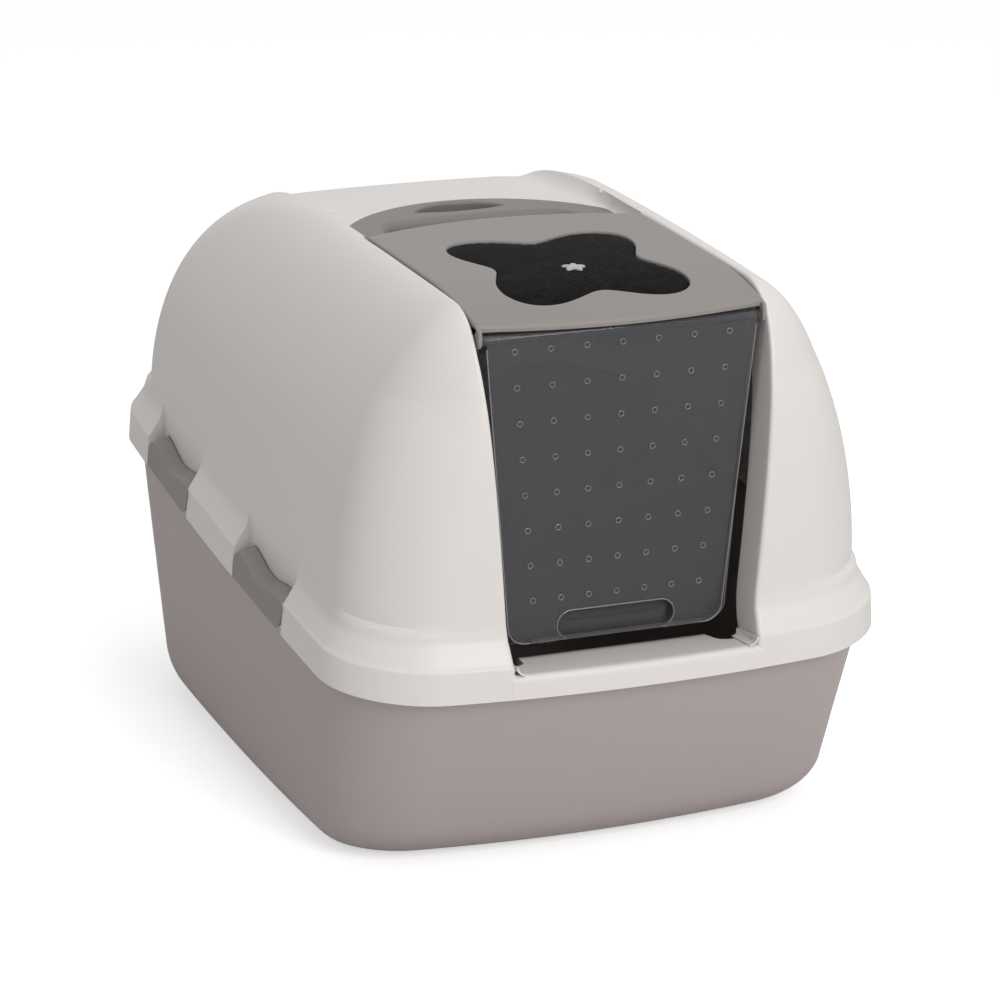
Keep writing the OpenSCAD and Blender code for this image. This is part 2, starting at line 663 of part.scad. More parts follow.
// Five-lobed star on a stem that goes down through the pad
module filter_stud() color([0.65, 0.65, 0.64]) translate([0, stud_y, 0]) {
    base = top_z - stud_sink;
    translate([0, 0, base]) linear_extrude(stud_t) polygon([for (a = [0:6:354])
        let (r = stud_r * (0.78 + 0.22 * cos(5 * a))) [r * cos(a), r * sin(a)]]);
    translate([0, 0, seat_z - 2]) cylinder(h = base - seat_z + 2 + stud_sink, r = stem_r - stem_fit);
}

// Side view of a clip: round upper back and lower front corners, and a finger scoop along the top
function clip_outline() = let (
    y0 = -clip_l / 2,
    y1 = clip_l / 2,
    c = clip_corner,
    reach = clip_l / 2 - 9)
    concat(arc(y0 + c, clip_foot + c, c, 180, 270), [[y1, clip_foot]], arc(y1 - c, clip_h - c, c, 0, 90),
        [for (t = [0.8:-0.1:-0.9]) [t * reach, clip_h - clip_scoop * (1 + cos(180 * t)) / 2]],
        arc(y0 + clip_end_r, clip_h - clip_end_r, clip_end_r, 90, 180));
// One clip: a face flush with the skirt, a top that lies over the notch's floor, and a pin along its foot
module clip(y) at_clip(y) {
    intersection() {
        along_y(-clip_l, clip_l) polygon([
            [0, clip_low], [-clip_low, clip_h + 5], [-clip_in, clip_h + 10], [-clip_in, clip_under],
            [-clip_t, clip_under], [-clip_t, clip_low]]);
        translate([0, 0, clip_h]) rotate([0, atan(clip_rise / clip_in), 0]) translate([0, 0, -clip_h])
            along_x(-2 * clip_in, clip_in) polygon(clip_outline());
    }
    translate([-pin_in, clip_corner - clip_l / 2, pin_h - clip_web / 2])
        cube([pin_in - clip_t + clip_low, clip_l - clip_corner - clip_gap, clip_web]);
    pin_y(clip_corner - clip_l / 2, clip_l / 2 - clip_gap, clip_barrel_r);
    pin_y(-clip_l / 2 - lug_l, clip_l / 2 + lug_l, clip_pin_r);
}
module clip_left_front() color([0.48, 0.46, 0.44]) mirror([1, 0, 0]) clip(-clip_front_y);
module clip_left_back() color([0.48, 0.46, 0.44]) mirror([1, 0, 0]) clip(clip_back_y);
module clip_right_front() color([0.48, 0.46, 0.44]) clip(-clip_front_y);
module clip_right_back() color([0.48, 0.46, 0.44]) clip(clip_back_y);

pan();
hood();
handle();
lid();
door();
filter_pad();
filter_stud();
clip_left_front();
clip_left_back();
clip_right_front();
clip_right_back();
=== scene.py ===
import bpy, bmesh, math
import numpy as np
from mathutils import Matrix, Vector


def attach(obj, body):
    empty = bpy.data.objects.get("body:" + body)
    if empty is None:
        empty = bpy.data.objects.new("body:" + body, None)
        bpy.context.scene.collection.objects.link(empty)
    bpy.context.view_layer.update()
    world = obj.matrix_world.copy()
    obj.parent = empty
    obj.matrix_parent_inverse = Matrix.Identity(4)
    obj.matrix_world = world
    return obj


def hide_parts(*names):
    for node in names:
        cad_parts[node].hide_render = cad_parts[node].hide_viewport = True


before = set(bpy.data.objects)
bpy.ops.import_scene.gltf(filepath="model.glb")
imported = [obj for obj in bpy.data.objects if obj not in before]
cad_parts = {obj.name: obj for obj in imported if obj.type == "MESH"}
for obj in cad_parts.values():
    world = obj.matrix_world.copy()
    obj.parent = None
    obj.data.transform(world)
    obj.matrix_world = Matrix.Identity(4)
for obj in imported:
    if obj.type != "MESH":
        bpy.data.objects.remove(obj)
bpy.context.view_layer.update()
print("frame loaded")

# sizes shared by pan and hood, in millimetres, as in the CAD
box = dict(halfW=195, halfL=250, topZ=371, seamZ=156, tilt=6, frontBow=16, backBow=6, sideBow=6,
           cornerFront=64, cornerBack=50)
rise = math.tan(math.radians(box["tilt"]))


def toMesh(name, grids, mergeGap=0.02):
    # joins point grids (rows, columns, 3) into one mesh: each four neighbouring points make a quad,
    # points closer than mergeGap millimetres become one, and the normals are then recalculated
    verts, quads, start = [], [], 0
    for grid in grids:
        rows, cols = grid.shape[:2]
        index = np.arange(rows * cols).reshape(rows, cols) + start
        four = [index[:-1, :-1], index[:-1, 1:], index[1:, 1:], index[1:, :-1]]
        quads.append(np.stack(four, -1).reshape(-1, 4))
        verts.append(grid.reshape(-1, 3))
        start += rows * cols
    verts, quads = np.concatenate(verts) / 1000, np.concatenate(quads)
    mesh = bpy.data.meshes.new(name)
    mesh.vertices.add(len(verts))
    mesh.vertices.foreach_set("co", verts.ravel())
    mesh.loops.add(quads.size)
    mesh.loops.foreach_set("vertex_index", quads.ravel())
    mesh.polygons.add(len(quads))
    mesh.polygons.foreach_set("loop_start", np.arange(0, quads.size, 4))
    mesh.update(calc_edges=True)
    bm = bmesh.new()
    bm.from_mesh(mesh)
    bmesh.ops.remove_doubles(bm, verts=bm.verts, dist=mergeGap / 1000)
    bmesh.ops.dissolve_degenerate(bm, edges=bm.edges, dist=mergeGap / 2000)
    bmesh.ops.recalc_face_normals(bm, faces=bm.faces)
    bm.to_mesh(mesh)
    bm.free()
    return mesh


def addPiece(name, mesh, body, material, nodes=(), wall=None, bevel=None, sharp=38):
    # wall is a thickness added inwards, bevel a rounding of the edges, both in millimetres
    piece = bpy.data.objects.new(name, mesh)
    bpy.context.scene.collection.objects.link(piece)
    if wall:
        solid = piece.modifiers.new("wall", "SOLIDIFY")
        solid.thickness, solid.offset, solid.use_even_offset = wall / 1000, -1, False
    if bevel:
        soft = piece.modifiers.new("soft", "BEVEL")
        soft.width, soft.segments, soft.limit_method = bevel / 1000, 3, "ANGLE"
        soft.angle_limit, soft.use_clamp_overlap = math.radians(40), True
    if wall or bevel:
        graph = bpy.context.evaluated_depsgraph_get()
        finished = bpy.data.meshes.new_from_object(piece.evaluated_get(graph))
        piece.modifiers.clear()
        piece.data = finished
    piece.data.materials.clear()
    piece.data.materials.append(material)
    piece.data.polygons.foreach_set("use_smooth", np.ones(len(piece.data.polygons), bool))
    piece.data.set_sharp_from_angle(angle=math.radians(sharp))
    if nodes:
        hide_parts(*nodes)
    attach(piece, body)
    return piece


def linear(rgb):
    # sRGB 0 to 255 turned into linear colour: c / 12.92 when dark, else ((c + 0.055) / 1.055) ^ 2.4
    c = np.array(rgb) / 255
    return tuple(np.where(c <= 0.04045, c / 12.92, ((c + 0.055) / 1.055) ** 2.4)) + (1,)


def smooth(t):
    # eases from 0 to 1: 3 t^2 - 2 t^3 with t held between 0 and 1
    t = np.clip(t, 0, 1)
    return t * t * (3 - 2 * t)


def mirrored(grid):
    # the same grid on the left, run the other way so that its faces still point outwards
    return (grid * np.array([-1, 1, 1]))[:, ::-1]


def mathNode(tree, kind, a, b, clamp=False):
    # one Math node whose two inputs are numbers or other nodes' outputs
    node = tree.nodes.new("ShaderNodeMath")
    node.operation, node.use_clamp = kind, clamp
    for socket, value in zip(node.inputs, (a, b)):
        if hasattr(value, "links"):
            tree.links.new(value, socket)
        else:
            socket.default_value = value
    return node.outputs[0]


def makeGrainGroup():
    # moulded plastic: slow drift of tone, fine pitted grain, faint flow streaks
    group = bpy.data.node_groups.new("moldedGrain", "ShaderNodeTree")
    for name, kind, value in (("Color", "NodeSocketColor", None), ("Drift", "NodeSocketFloat", 0.03),
                              ("Grain Size", "NodeSocketFloat", 900), ("Roughness", "NodeSocketFloat", 0.4),
                              ("Depth", "NodeSocketFloat", 0.4)):
        socket = group.interface.new_socket(name, in_out="INPUT", socket_type=kind)
        if value is not None:
            socket.default_value = value
    for name, kind in (("Color", "NodeSocketColor"), ("Roughness", "NodeSocketFloat"),
                       ("Height", "NodeSocketFloat")):
        group.interface.new_socket(name, in_out="OUTPUT", socket_type=kind)
    add, link = group.nodes.new, group.links.new
    ins, outs, place = add("NodeGroupInput"), add("NodeGroupOutput"), add("ShaderNodeTexCoord")
    slow, fine, specks = add("ShaderNodeTexNoise"), add("ShaderNodeTexNoise"), add("ShaderNodeTexVoronoi")
    slow.inputs["Scale"].default_value, slow.inputs["Detail"].default_value = 7, 3
    fine.inputs["Detail"].default_value = 2
    for tex in (slow, fine, specks):
        link(place.outputs["Object"], tex.inputs["Vector"])
    link(ins.outputs["Grain Size"], fine.inputs["Scale"])
    link(ins.outputs["Grain Size"], specks.inputs["Scale"])

    def calc(kind, a, b, clamp=False):
        return mathNode(group, kind, a, b, clamp)

    drift = calc("MULTIPLY", calc("SUBTRACT", slow.outputs["Fac"], 0.5), ins.outputs["Drift"])
    pits = calc("MULTIPLY", calc("SUBTRACT", fine.outputs["Fac"], 0.5),
                calc("MULTIPLY", ins.outputs["Drift"], 0.5))
    tone = add("ShaderNodeHueSaturation")
    link(ins.outputs["Color"], tone.inputs["Color"])
    link(calc("ADD", calc("ADD", drift, pits), 1.0), tone.inputs["Value"])
    link(tone.outputs["Color"], outs.inputs["Color"])
    sheen = calc("MULTIPLY", calc("SUBTRACT", slow.outputs["Fac"], 0.5), 0.16)
    link(calc("ADD", ins.outputs["Roughness"], sheen, True), outs.inputs["Roughness"])
    relief = calc("ADD", calc("MULTIPLY", fine.outputs["Fac"], 0.6),
                  calc("MULTIPLY", specks.outputs["Distance"], 0.4))
    link(calc("MULTIPLY", relief, ins.outputs["Depth"]), outs.inputs["Height"])
    return group


grainGroup = makeGrainGroup()


def plastic(name, rgb, roughness=0.42, drift=0.03, grain=900, depth=0.4, specular=0.45, rounding=0):
    # moulded plastic; rounding in millimetres softens the edges of a carried-over solid in its shading
    mat = bpy.data.materials.new(name)
    mat.use_nodes = True
    nodes, link = mat.node_tree.nodes, mat.node_tree.links.new
    shader = nodes["Principled BSDF"]
    skin = nodes.new("ShaderNodeGroup")
    skin.node_tree = grainGroup
    skin.inputs["Color"].default_value = linear(rgb)
    for key, value in (("Drift", drift), ("Grain Size", grain), ("Roughness", roughness),
                       ("Depth", depth)):
        skin.inputs[key].default_value = value
    bump = nodes.new("ShaderNodeBump")
    bump.inputs["Distance"].default_value, bump.inputs["Strength"].default_value = 0.0001, 0.6
    link(skin.outputs["Color"], shader.inputs["Base Color"])
    link(skin.outputs["Roughness"], shader.inputs["Roughness"])
    link(skin.outputs["Height"], bump.inputs["Height"])
    link(bump.outputs["Normal"], shader.inputs["Normal"])
    if rounding:
        edge = nodes.new("ShaderNodeBevel")
        edge.samples = 6
        edge.inputs["Radius"].default_value = rounding / 1000
        link(edge.outputs["Normal"], bump.inputs["Normal"])
    shader.inputs["Specular IOR Level"].default_value = specular
    return mat


hoodWhite = plastic("hoodWhite", (222, 217, 213), roughness=0.4, drift=0.02, grain=1100, depth=0.25)
panTaupe = plastic("panTaupe", (172, 161, 158), roughness=0.45, drift=0.03, grain=1000, depth=0.35)
lidTaupe = plastic("lidTaupe", (137, 132, 128), roughness=0.5, drift=0.03, grain=1000, depth=0.45)
handleTaupe = plastic("handleTaupe", (120, 114, 110), roughness=0.5, grain=1000, depth=0.45)
clipTaupe = plastic("clipTaupe", (134, 128, 123), roughness=0.48, grain=1000, depth=0.4, rounding=0.9)
studGrey = plastic("studGrey", (176, 176, 174), roughness=0.4, grain=1200, depth=0.3)

# smoked clear plastic: its grey is partly the plastic's own smoke and partly painted light, raised to stand in for the
# lit inside seen through it
smokedTintAndPaintedLight = plastic("smokedTintAndPaintedLight", (88, 88, 91), roughness=0.06, drift=0.01, grain=300, depth=0,
                      specular=0.5)
smokedTintAndPaintedLight.node_tree.nodes["Principled BSDF"].inputs["Alpha"].default_value = 0.42
# painted highlight: a light grey for the bright lines along the smoked plastic's edges, round its dimples and round
# the pull
smokedEdgeHighlight = plastic("smokedEdgeHighlight", (168, 168, 170), roughness=0.08, drift=0.01, grain=300, depth=0,
                     specular=0.6)
smokedEdgeHighlight.node_tree.nodes["Principled BSDF"].inputs["Alpha"].default_value = 0.55


def feltMaterial():
    # felted carbon fibre: short fibres in two directions over soft clumps
    mat = bpy.data.materials.new("filterFelt")
    mat.use_nodes = True
    nodes, link = mat.node_tree.nodes, mat.node_tree.links.new
    shader, place = nodes["Principled BSDF"], nodes.new("ShaderNodeTexCoord")
    heights = []
    for turn, scale in ((0.4, 620), (1.9, 540)):
        lay, fibres = nodes.new("ShaderNodeMapping"), nodes.new("ShaderNodeTexNoise")
        lay.inputs["Rotation"].default_value = (0, 0, turn)
        lay.inputs["Scale"].default_value = (1, 0.35, 1)
        fibres.inputs["Scale"].default_value, fibres.inputs["Detail"].default_value = scale, 4
        link(place.outputs["Object"], lay.inputs["Vector"])
        link(lay.outputs["Vector"], fibres.inputs["Vector"])
        heights.append(fibres.outputs["Fac"])
    clumps = nodes.new("ShaderNodeTexNoise")
    clumps.inputs["Scale"].default_value, clumps.inputs["Detail"].default_value = 90, 5
    link(place.outputs["Object"], clumps.inputs["Vector"])
    fuzz = mathNode(mat.node_tree, "MULTIPLY", mathNode(mat.node_tree, "MAXIMUM", *heights),
                    clumps.outputs["Fac"])
    ramp = nodes.new("ShaderNodeValToRGB")
    for stop, share, rgb in zip(ramp.color_ramp.elements, (0.2, 0.48), ((7, 7, 8), (27, 27, 28))):
        stop.position, stop.color = share, linear(rgb)
    link(fuzz, ramp.inputs["Fac"])
    link(ramp.outputs["Color"], shader.inputs["Base Color"])
    bump = nodes.new("ShaderNodeBump")
    bump.inputs["Distance"].default_value, bump.inputs["Strength"].default_value = 0.0006, 0.8
    link(fuzz, bump.inputs["Height"])
    link(bump.outputs["Normal"], shader.inputs["Normal"])
    shader.inputs["Roughness"].default_value = 1
    shader.inputs["Specular IOR Level"].default_value = 0.08
    shader.inputs["Sheen Weight"].default_value = 0.03
    return mat


filterFelt = feltMaterial()
print("materials made")


def halfOutline(w, f, b, rf, rb, z, slope):
    # right half of a rounded rectangle, from the front middle round to the back middle: half width w,
    # reach f to the front and b to the back, corners rf and rb. Front and back are bowed by
    # bow * (x / w)^2 * u^4 and the sides by sideBow * u^2, with u = y / reach, at height z + slope * y
    a = np.linspace(0, np.pi / 2, 140)
    x = np.concatenate([np.linspace(0, w - rf, 90)[:-1], w - rf + rf * np.sin(a), np.full(160, w),
                        w - rb + rb * np.cos(a), np.linspace(w - rb, 0, 90)[1:]])
    y = np.concatenate([np.full(89, -f), rf - f - rf * np.cos(a), np.linspace(rf - f, b - rb, 162)[1:-1],
                        b - rb + rb * np.sin(a), np.full(89, b)])
    u = np.where(y < 0, y / f, y / b)
    y = y + np.where(y < 0, box["frontBow"], -box["backBow"]) * (x / w) ** 2 * u ** 4
    x = x * (1 - box["sideBow"] * u * u / w)
    return np.stack([x, y, z + slope * y], -1)


def lengthAlong(line):
    # running length of a line of points: the sum of the distances up to each
    return np.concatenate([[0], np.cumsum(np.linalg.norm(np.diff(line, axis=0), axis=1))])


def pointsAt(line, along, places):
    # points of a line at given running lengths, straight between its own points
    return np.stack([np.interp(places, along, line[:, i]) for i in range(3)], -1)


# hood: door channel, dished top, notches for the clips, and the dome's top ring and how far it swells
hood = dict(wall=2.5, edgeRound=3, cheekDepth=28, channelLow=83, channelTop=98.5, sillZ=144.7,
            dish=9, dishEdge=98.5, dishFrom=118, dishTo=225, handleEdge=108,
            notches=((-120.4, -29.6), (66.6, 157.4)), domeZ=200, topHalf=99, sideSwell=83.5,
            frontReach=186, frontSwell=53, backReach=60, backSwell=176.5, footRound=9.5,
            crestHalf=86.2, crestY=-249.2, sillInset=75, hollowRound=5.6)
frontCols, cornerCols, sillCols = 52, 34, 81
# columns of the back run straight from front to back, close together where the dished top starts
backXs = np.concatenate([hood["dishEdge"] - np.array([0, 0.5, 1.1, 1.9, 3, 4.4, 6, 8, 10.5, 13.5, 17]),
                         np.linspace(76, 0, 20)])


def channelHalf(z):
    # half width of the door's channel: grows evenly with height from the sill, level above 345
    grow = hood["channelTop"] - hood["channelLow"]
    return np.where(z > 345, hood["channelTop"], hood["channelLow"] + grow * (z - hood["sillZ"]) / 200.3)


def skirtPaths():
    # inset and height above the seam for three profiles with the same number of points:
    # along the side, along the front, and where a clip sits
    t = np.linspace(0, 1, 5)
    lower = np.array([0, 0.5, 3.5, 6.5, 9.5, 12.5, 16, 19.3])
    roll = np.array([[1.35, 20.2], [1.6, 20.9], [2.1, 21.4]])
    slope = np.stack([2.6 + 5.2 * t[:4], 22 + 8.4 * t[:4]], -1)
    foot = np.array([[9.0, 32.3], [9.9, 34.2], [10.7, 36.4], [11.4, 38.8], [12.0, 41.4]])
    side = np.concatenate([np.stack([lower * 0.067, lower], -1), roll, slope, foot])
    front = side.copy()
    front[8:11, 0] = [1.35, 1.75, 2.3]
    front[11:15, 0] = 2.9 + 4.0 * t[:4]
    front[15:, 0] = [7.9, 9.4, 9.9, 10.3, 10.7]
    shelf = np.array([[3.6, 0], [3.6, 2.5], [3.6, 6], [3.6, 9], [3.6, 12.3], [3.9, 12.6], [7, 12.6],
                      [10, 12.6], [12.1, 12.6], [12.5, 13], [12.5, 15], [12.5, 18], [12.5, 21], [12.5, 24], [12.5, 27],
                      [12.5, 30], [12.5, 33], [12.5, 36], [12.5, 39], [12.5, 41.6]])
    return side, front, shelf


def domeRow(a):
    # ring of the dome at angle a: half width, reach to the front and back, corners, height, slope.
    # k = sin(a)^(2 / 1.8) is the share of the height; over it the width, the front and the back
    # swell as superellipses with the powers 1.8, 3 and 3.2
    k = math.sin(a) ** (2 / 1.8)
    w = hood["topHalf"] + hood["sideSwell"] * math.cos(a) ** (2 / 1.8)
    f = hood["frontReach"] + hood["frontSwell"] * (1 - k ** 3) ** (1 / 3)
    b = hood["backReach"] + hood["backSwell"] * (1 - k ** 3.2) ** (1 / 3.2)
    z = hood["domeZ"] + (box["topZ"] - hood["domeZ"]) * k
    return w, f, b, min(60, w - 93), 50 + 6 * k, z, rise * (1 - k)


def dishDepth(x, y):
    # depth of the dished top below the shoulders: dish * (1 - (1 - q)^2.6), q being the share of the
    # wall's width, 4 by the handle and 17 further back; it eases out between dishFrom and dishTo
    width = 4 + 13 * smooth((y - 26) / 60)
    q = np.clip((hood["dishEdge"] - np.abs(x)) / width, 0, 1)
    fade = 1 - smooth((y - hood["dishFrom"]) / (hood["dishTo"] - hood["dishFrom"]))
    return hood["dish"] * (1 - (1 - q) ** 2.6) * fade * (y > -40)


def sideColumns():
    # places along the side, doubled at the ends of each notch, and which of them lie in a notch
    ys, cut = [np.linspace(-150, hood["notches"][0][0], 6)], [np.zeros(6, bool)]
    for i, (y0, y1) in enumerate(hood["notches"]):
        nextY = hood["notches"][1][0] if i == 0 else 182
        ys += [np.linspace(y0, y1, 14), np.linspace(y1, nextY, 10 if i == 0 else 6)]
        cut += [np.ones(14, bool), np.zeros(10 if i == 0 else 6, bool)]
    return np.concatenate(ys), np.concatenate(cut)


def rowPoints(outline, sideYs):
    # one row of the skin: from the channel's edge to the side, along the side at the given y, round
    # the corner, then to the back middle at the x of backXs
    along = lengthAlong(outline)
    past = outline[:, 0] - (channelHalf(outline[:, 2]) + hood["edgeRound"])
    first = int(np.argmax(past > 0)) if (past > 0).any() else int(np.argmax(outline[:, 0]))
    share = 0 if first == 0 or past[first] <= 0 else past[first] / (past[first] - past[first - 1])
    start = along[first] - share * (along[first] - along[first - 1])
    places = np.interp(sideYs, outline[:, 1], along)
    front = start + (places[0] - start) * np.linspace(0, 1, frontCols)
    rear = outline[:, 1] > 40
    back = np.interp(backXs, outline[rear, 0][::-1], along[rear][::-1])
    corner = places[-1] + (back[0] - places[-1]) * np.linspace(0, 1, cornerCols)
    return pointsAt(outline, along, np.concatenate([front[:-1], places, corner[1:-1], back]))


def skirtOutline(tSide, tFront, h):
    # outline of the skirt drawn in by tSide and tFront, at height h above the seam
    return halfOutline(box["halfW"] - tSide, box["halfL"] - tFront, box["halfL"] - tSide,
                       max(box["cornerFront"] - tSide, 8), max(box["cornerBack"] - tSide, 8),
                       box["seamZ"] + h, rise)


side, frontPath, shelf = skirtPaths()
sideYs, inNotch = sideColumns()
cutCols = np.concatenate([np.zeros(frontCols - 1, bool), inNotch,
                          np.zeros(cornerCols - 2 + len(backXs), bool)])
skirt = np.array([rowPoints(skirtOutline(s[0], f[0], (s[1] + f[1]) / 2), sideYs)
                  for s, f in zip(side, frontPath)])
notch = np.array([rowPoints(skirtOutline(t, t, h), sideYs) for t, h in shelf])
skirt[:, cutCols] = notch[:, cutCols]
topAngle = math.radians(87.2)
angles = topAngle * np.linspace(0, 1, 72) ** 0.85
topYs = np.interp(sideYs, (sideYs[0], sideYs[-1]), (24.3, 45))
dome = np.array([rowPoints(halfOutline(*domeRow(a)), sideYs + (topYs - sideYs) * smooth(a / topAngle))
                 for a in angles])
dome[:, :, 2] -= dishDepth(dome[:, :, 0], dome[:, :, 1])
skin = np.concatenate([skirt, dome])

# the top: a level shoulder beside the dish, then the dish from the last row to the handle's far edge
backStart = skin.shape[1] - len(backXs)
rim = skin[-1, frontCols - 1:backStart + 1]
shoulder = rim.copy()
shoulder[:, 0], shoulder[:, 2] = hood["dishEdge"], box["topZ"]
shoulder = rim + (shoulder - rim) * np.linspace(0, 1, 5)[:, None, None]
rim = skin[-1, backStart:].copy()
rim[:, 2] += dishDepth(rim[:, 0], rim[:, 1])
arcYs = np.where(backXs > 94, -15.5, -20 + np.sqrt(hood["handleEdge"] ** 2 - backXs ** 2))
arc = np.stack([backXs, arcYs, np.full(len(backXs), float(box["topZ"]))], -1)
top = rim + (arc - rim) * np.linspace(0, 1, 26)[:, None, None]
top[:, :, 2] -= dishDepth(top[:, :, 0], top[:, :, 1])

# cheeks: at the channel's edge the skin rolls in a quarter round from its own slope to a wall that
# runs straight back; near the sill the wall is drawn in by a round of footRound
sillRow = 4
edge = np.concatenate([skin[sillRow:, 0], skin[-1, 1:frontCols]])
normals = np.cross(np.gradient(skin, axis=1), np.gradient(skin, axis=0))
normals = np.concatenate([normals[sillRow:, 0], normals[-1, 1:frontCols]])
normals /= np.linalg.norm(normals, axis=1)[:, None] + 1e-9
across = np.array([-1, 0, 0]) + normals[:, :1] * normals
across /= np.linalg.norm(across, axis=1)[:, None]
tangent = np.gradient(edge, axis=0)
inward = np.stack([np.zeros(len(edge)), tangent[:, 2], -tangent[:, 1]], -1)
inward /= np.linalg.norm(inward, axis=1)[:, None]
bend = np.linspace(0, np.pi / 2, 7)[:, None, None]
roll = edge + hood["edgeRound"] * (across * np.sin(bend) + inward * (1 - np.cos(bend)))
roll[:, :, 0] += (channelHalf(roll[-1, :, 2]) - roll[-1, :, 0]) * (bend[:, :, 0] / (np.pi / 2)) ** 2
foot = np.clip(hood["footRound"] - (edge[:, 2] - 141), 0, hood["footRound"])
depth = hood["cheekDepth"] - 1.2 * (hood["footRound"] - np.sqrt(hood["footRound"] ** 2 - foot ** 2))
wall = roll[-1] + inward * (depth[:, None] - hood["edgeRound"]) * np.linspace(0, 1, 8)[:, None, None]
wall[:, :, 0] = channelHalf(wall[:, :, 2])
cheek = np.concatenate([roll, wall[1:]])[::-1]
cheek[:, 0, 2] = np.minimum(cheek[:, 0, 2], 138.5)

# front band between the cheeks, the rolled crest of the sill, and the sill with a round cut in each corner
overSill = np.linspace(-1, 1, sillCols)
band = []
for i in range(6):
    w, f = box["halfW"] - side[i, 0], box["halfL"] - frontPath[i, 0]
    x = overSill * skin[i, 0, 0]
    y = -f + box["frontBow"] * (x / w) ** 2
    band.append(np.stack([x, y, box["seamZ"] + (side[i, 1] + frontPath[i, 1]) / 2 + rise * y], -1))
x = overSill * 83.4
y0 = hood["crestY"] + box["frontBow"] * (x / 194) ** 2
for back, z in ((0.5, 143.1), (1.4, 144.2), (3, 144.8), (5.2, 144.9)):
    band.append(np.stack([overSill * hood["crestHalf"], y0 + back, np.full(sillCols, z)], -1))
gap, cut = np.abs(np.abs(x) - hood["sillInset"]), hood["footRound"]
inner = np.where(gap < cut, -213 - np.sqrt(np.maximum(cut ** 2 - gap ** 2, 0)),
                 np.where(np.abs(x) > hood["sillInset"], -213, -204.0))
for share in np.linspace(0, 1, 12)[1:]:
    y = y0 + 5.2 + (inner - y0 - 5.2) * share
    band.append(np.stack([x, y, 144.9 - 4.2 * (y + 244) / 40], -1))
last = band[-1]
for down, back in ((0.6, 0.9), (1.8, 1.5), (5, 1.7)):
    band.append(last + np.array([0, back, -down]))
band = np.array(band)

# small hollow round where the sill meets each cheek: a quarter circle carried back along the sill
curl = np.linspace(0, np.pi / 2, 6)[:, None]
ys = np.linspace(-246.2, -219, 20)[None]
hollow = np.stack([77.2 + hood["hollowRound"] * np.sin(curl) + 0 * ys, ys + 0 * curl,
                   150.6 - 4.2 * (ys + 244) / 40 - hood["hollowRound"] * np.cos(curl)], -1)
hollowMesh = toMesh("sill_round", [hollow, mirrored(hollow)])
addPiece("sill_round", hollowMesh, "base", hoodWhite, wall=1)

hoodMesh = toMesh("hood", [skin, mirrored(skin), shoulder, mirrored(shoulder), top, mirrored(top),
                           cheek, mirrored(cheek), band])
hoodShell = addPiece("hood_shell", hoodMesh, "base", hoodWhite, ["hood"],
                     wall=hood["wall"])
print("hood made:", len(hoodShell.data.polygons), "faces")


# pan: inset from the box at the seam, how far it narrows down to the floor, and its corners at the floor
pan = dict(wall=3, inset=8.5, fillet=32, narrowSide=6, narrowFront=48, narrowBack=9,
           floorFront=56, floorBack=96, clipYs=(-75, 112), lugGap=48.4)
panHalfW, panHalfL = box["halfW"] - pan["inset"], box["halfL"] - pan["inset"]
panFront, panBack = box["cornerFront"] - pan["inset"], box["cornerBack"] - pan["inset"]


def panRow(z, t):
    # outline of the pan at height z above the floor at mid length, drawn in by t: reaches and corners
    # go evenly from the floor's values to the seam's
    k = z / box["seamZ"]
    return halfOutline(panHalfW - pan["narrowSide"] * (1 - k) - t,
                       panHalfL - pan["narrowFront"] * (1 - k) - t,
                       panHalfL - pan["narrowBack"] * (1 - k) - t,
                       max(pan["floorFront"] + (panFront - pan["floorFront"]) * k - t, 6),
                       max(pan["floorBack"] + (panBack - pan["floorBack"]) * k - t, 6), z, rise * k)


def rimRow(h, out):
    # outline of the rim at height h above the seam, moved outwards by out
    return halfOutline(panHalfW + out, panHalfL + out, panHalfL + out, panFront + out, panBack + out,
                       box["seamZ"] + h, rise)


def bowl(t, z0):
    # floor, fillet and walls of the pan from the middle of the floor up; the fillet is a quarter circle
    rows = []
    first = panRow(t + z0, pan["fillet"])
    for share in (0, 0.5, 0.85):
        rows.append(first * np.array([share, share, 1]))
    for a in np.radians(np.linspace(0, 90, 13)):
        rows.append(panRow(t + (pan["fillet"] - t) * (1 - math.cos(a)),
                           t + (pan["fillet"] - t) * (1 - math.sin(a))))
    return rows + [panRow(box["seamZ"] * k, t) for k in (0.3, 0.4, 0.5, 0.6, 0.7, 0.8, 0.9, 0.97, 1)]


# height and reach of the rim's lip, from the outside over the top and down the inside
lipEdge = [(5, 0), (6.6, 0.2), (7, 0.8), (7, 3.9), (7.3, 4.4), (8.5, 4.5), (9.6, 4.3), (10, 3.8),
           (10, -2.2), (9.6, -2.8), (8.8, -3)]
panRows = bowl(0, 0) + [rimRow(h, out) for h, out in lipEdge] + bowl(pan["wall"], 0)[::-1]
panHalf = np.array([pointsAt(row, lengthAlong(row), np.linspace(0, lengthAlong(row)[-1], 130))
                    for row in panRows])


def blockGrid(lo, hi):
    # a closed block as a grid: two end caps and four sides
    (x0, y0, z0), (x1, y1, z1) = lo, hi
    loop = np.array([[x0, z0], [x1, z0], [x1, z1], [x0, z1], [x0, z0]])
    middle = np.full((5, 2), ((x0 + x1) / 2, (z0 + z1) / 2))
    return np.array([np.stack([at[:, 0], np.full(5, y), at[:, 1]], -1)
                     for y, at in ((y0, middle), (y0, loop), (y1, loop), (y1, middle))])


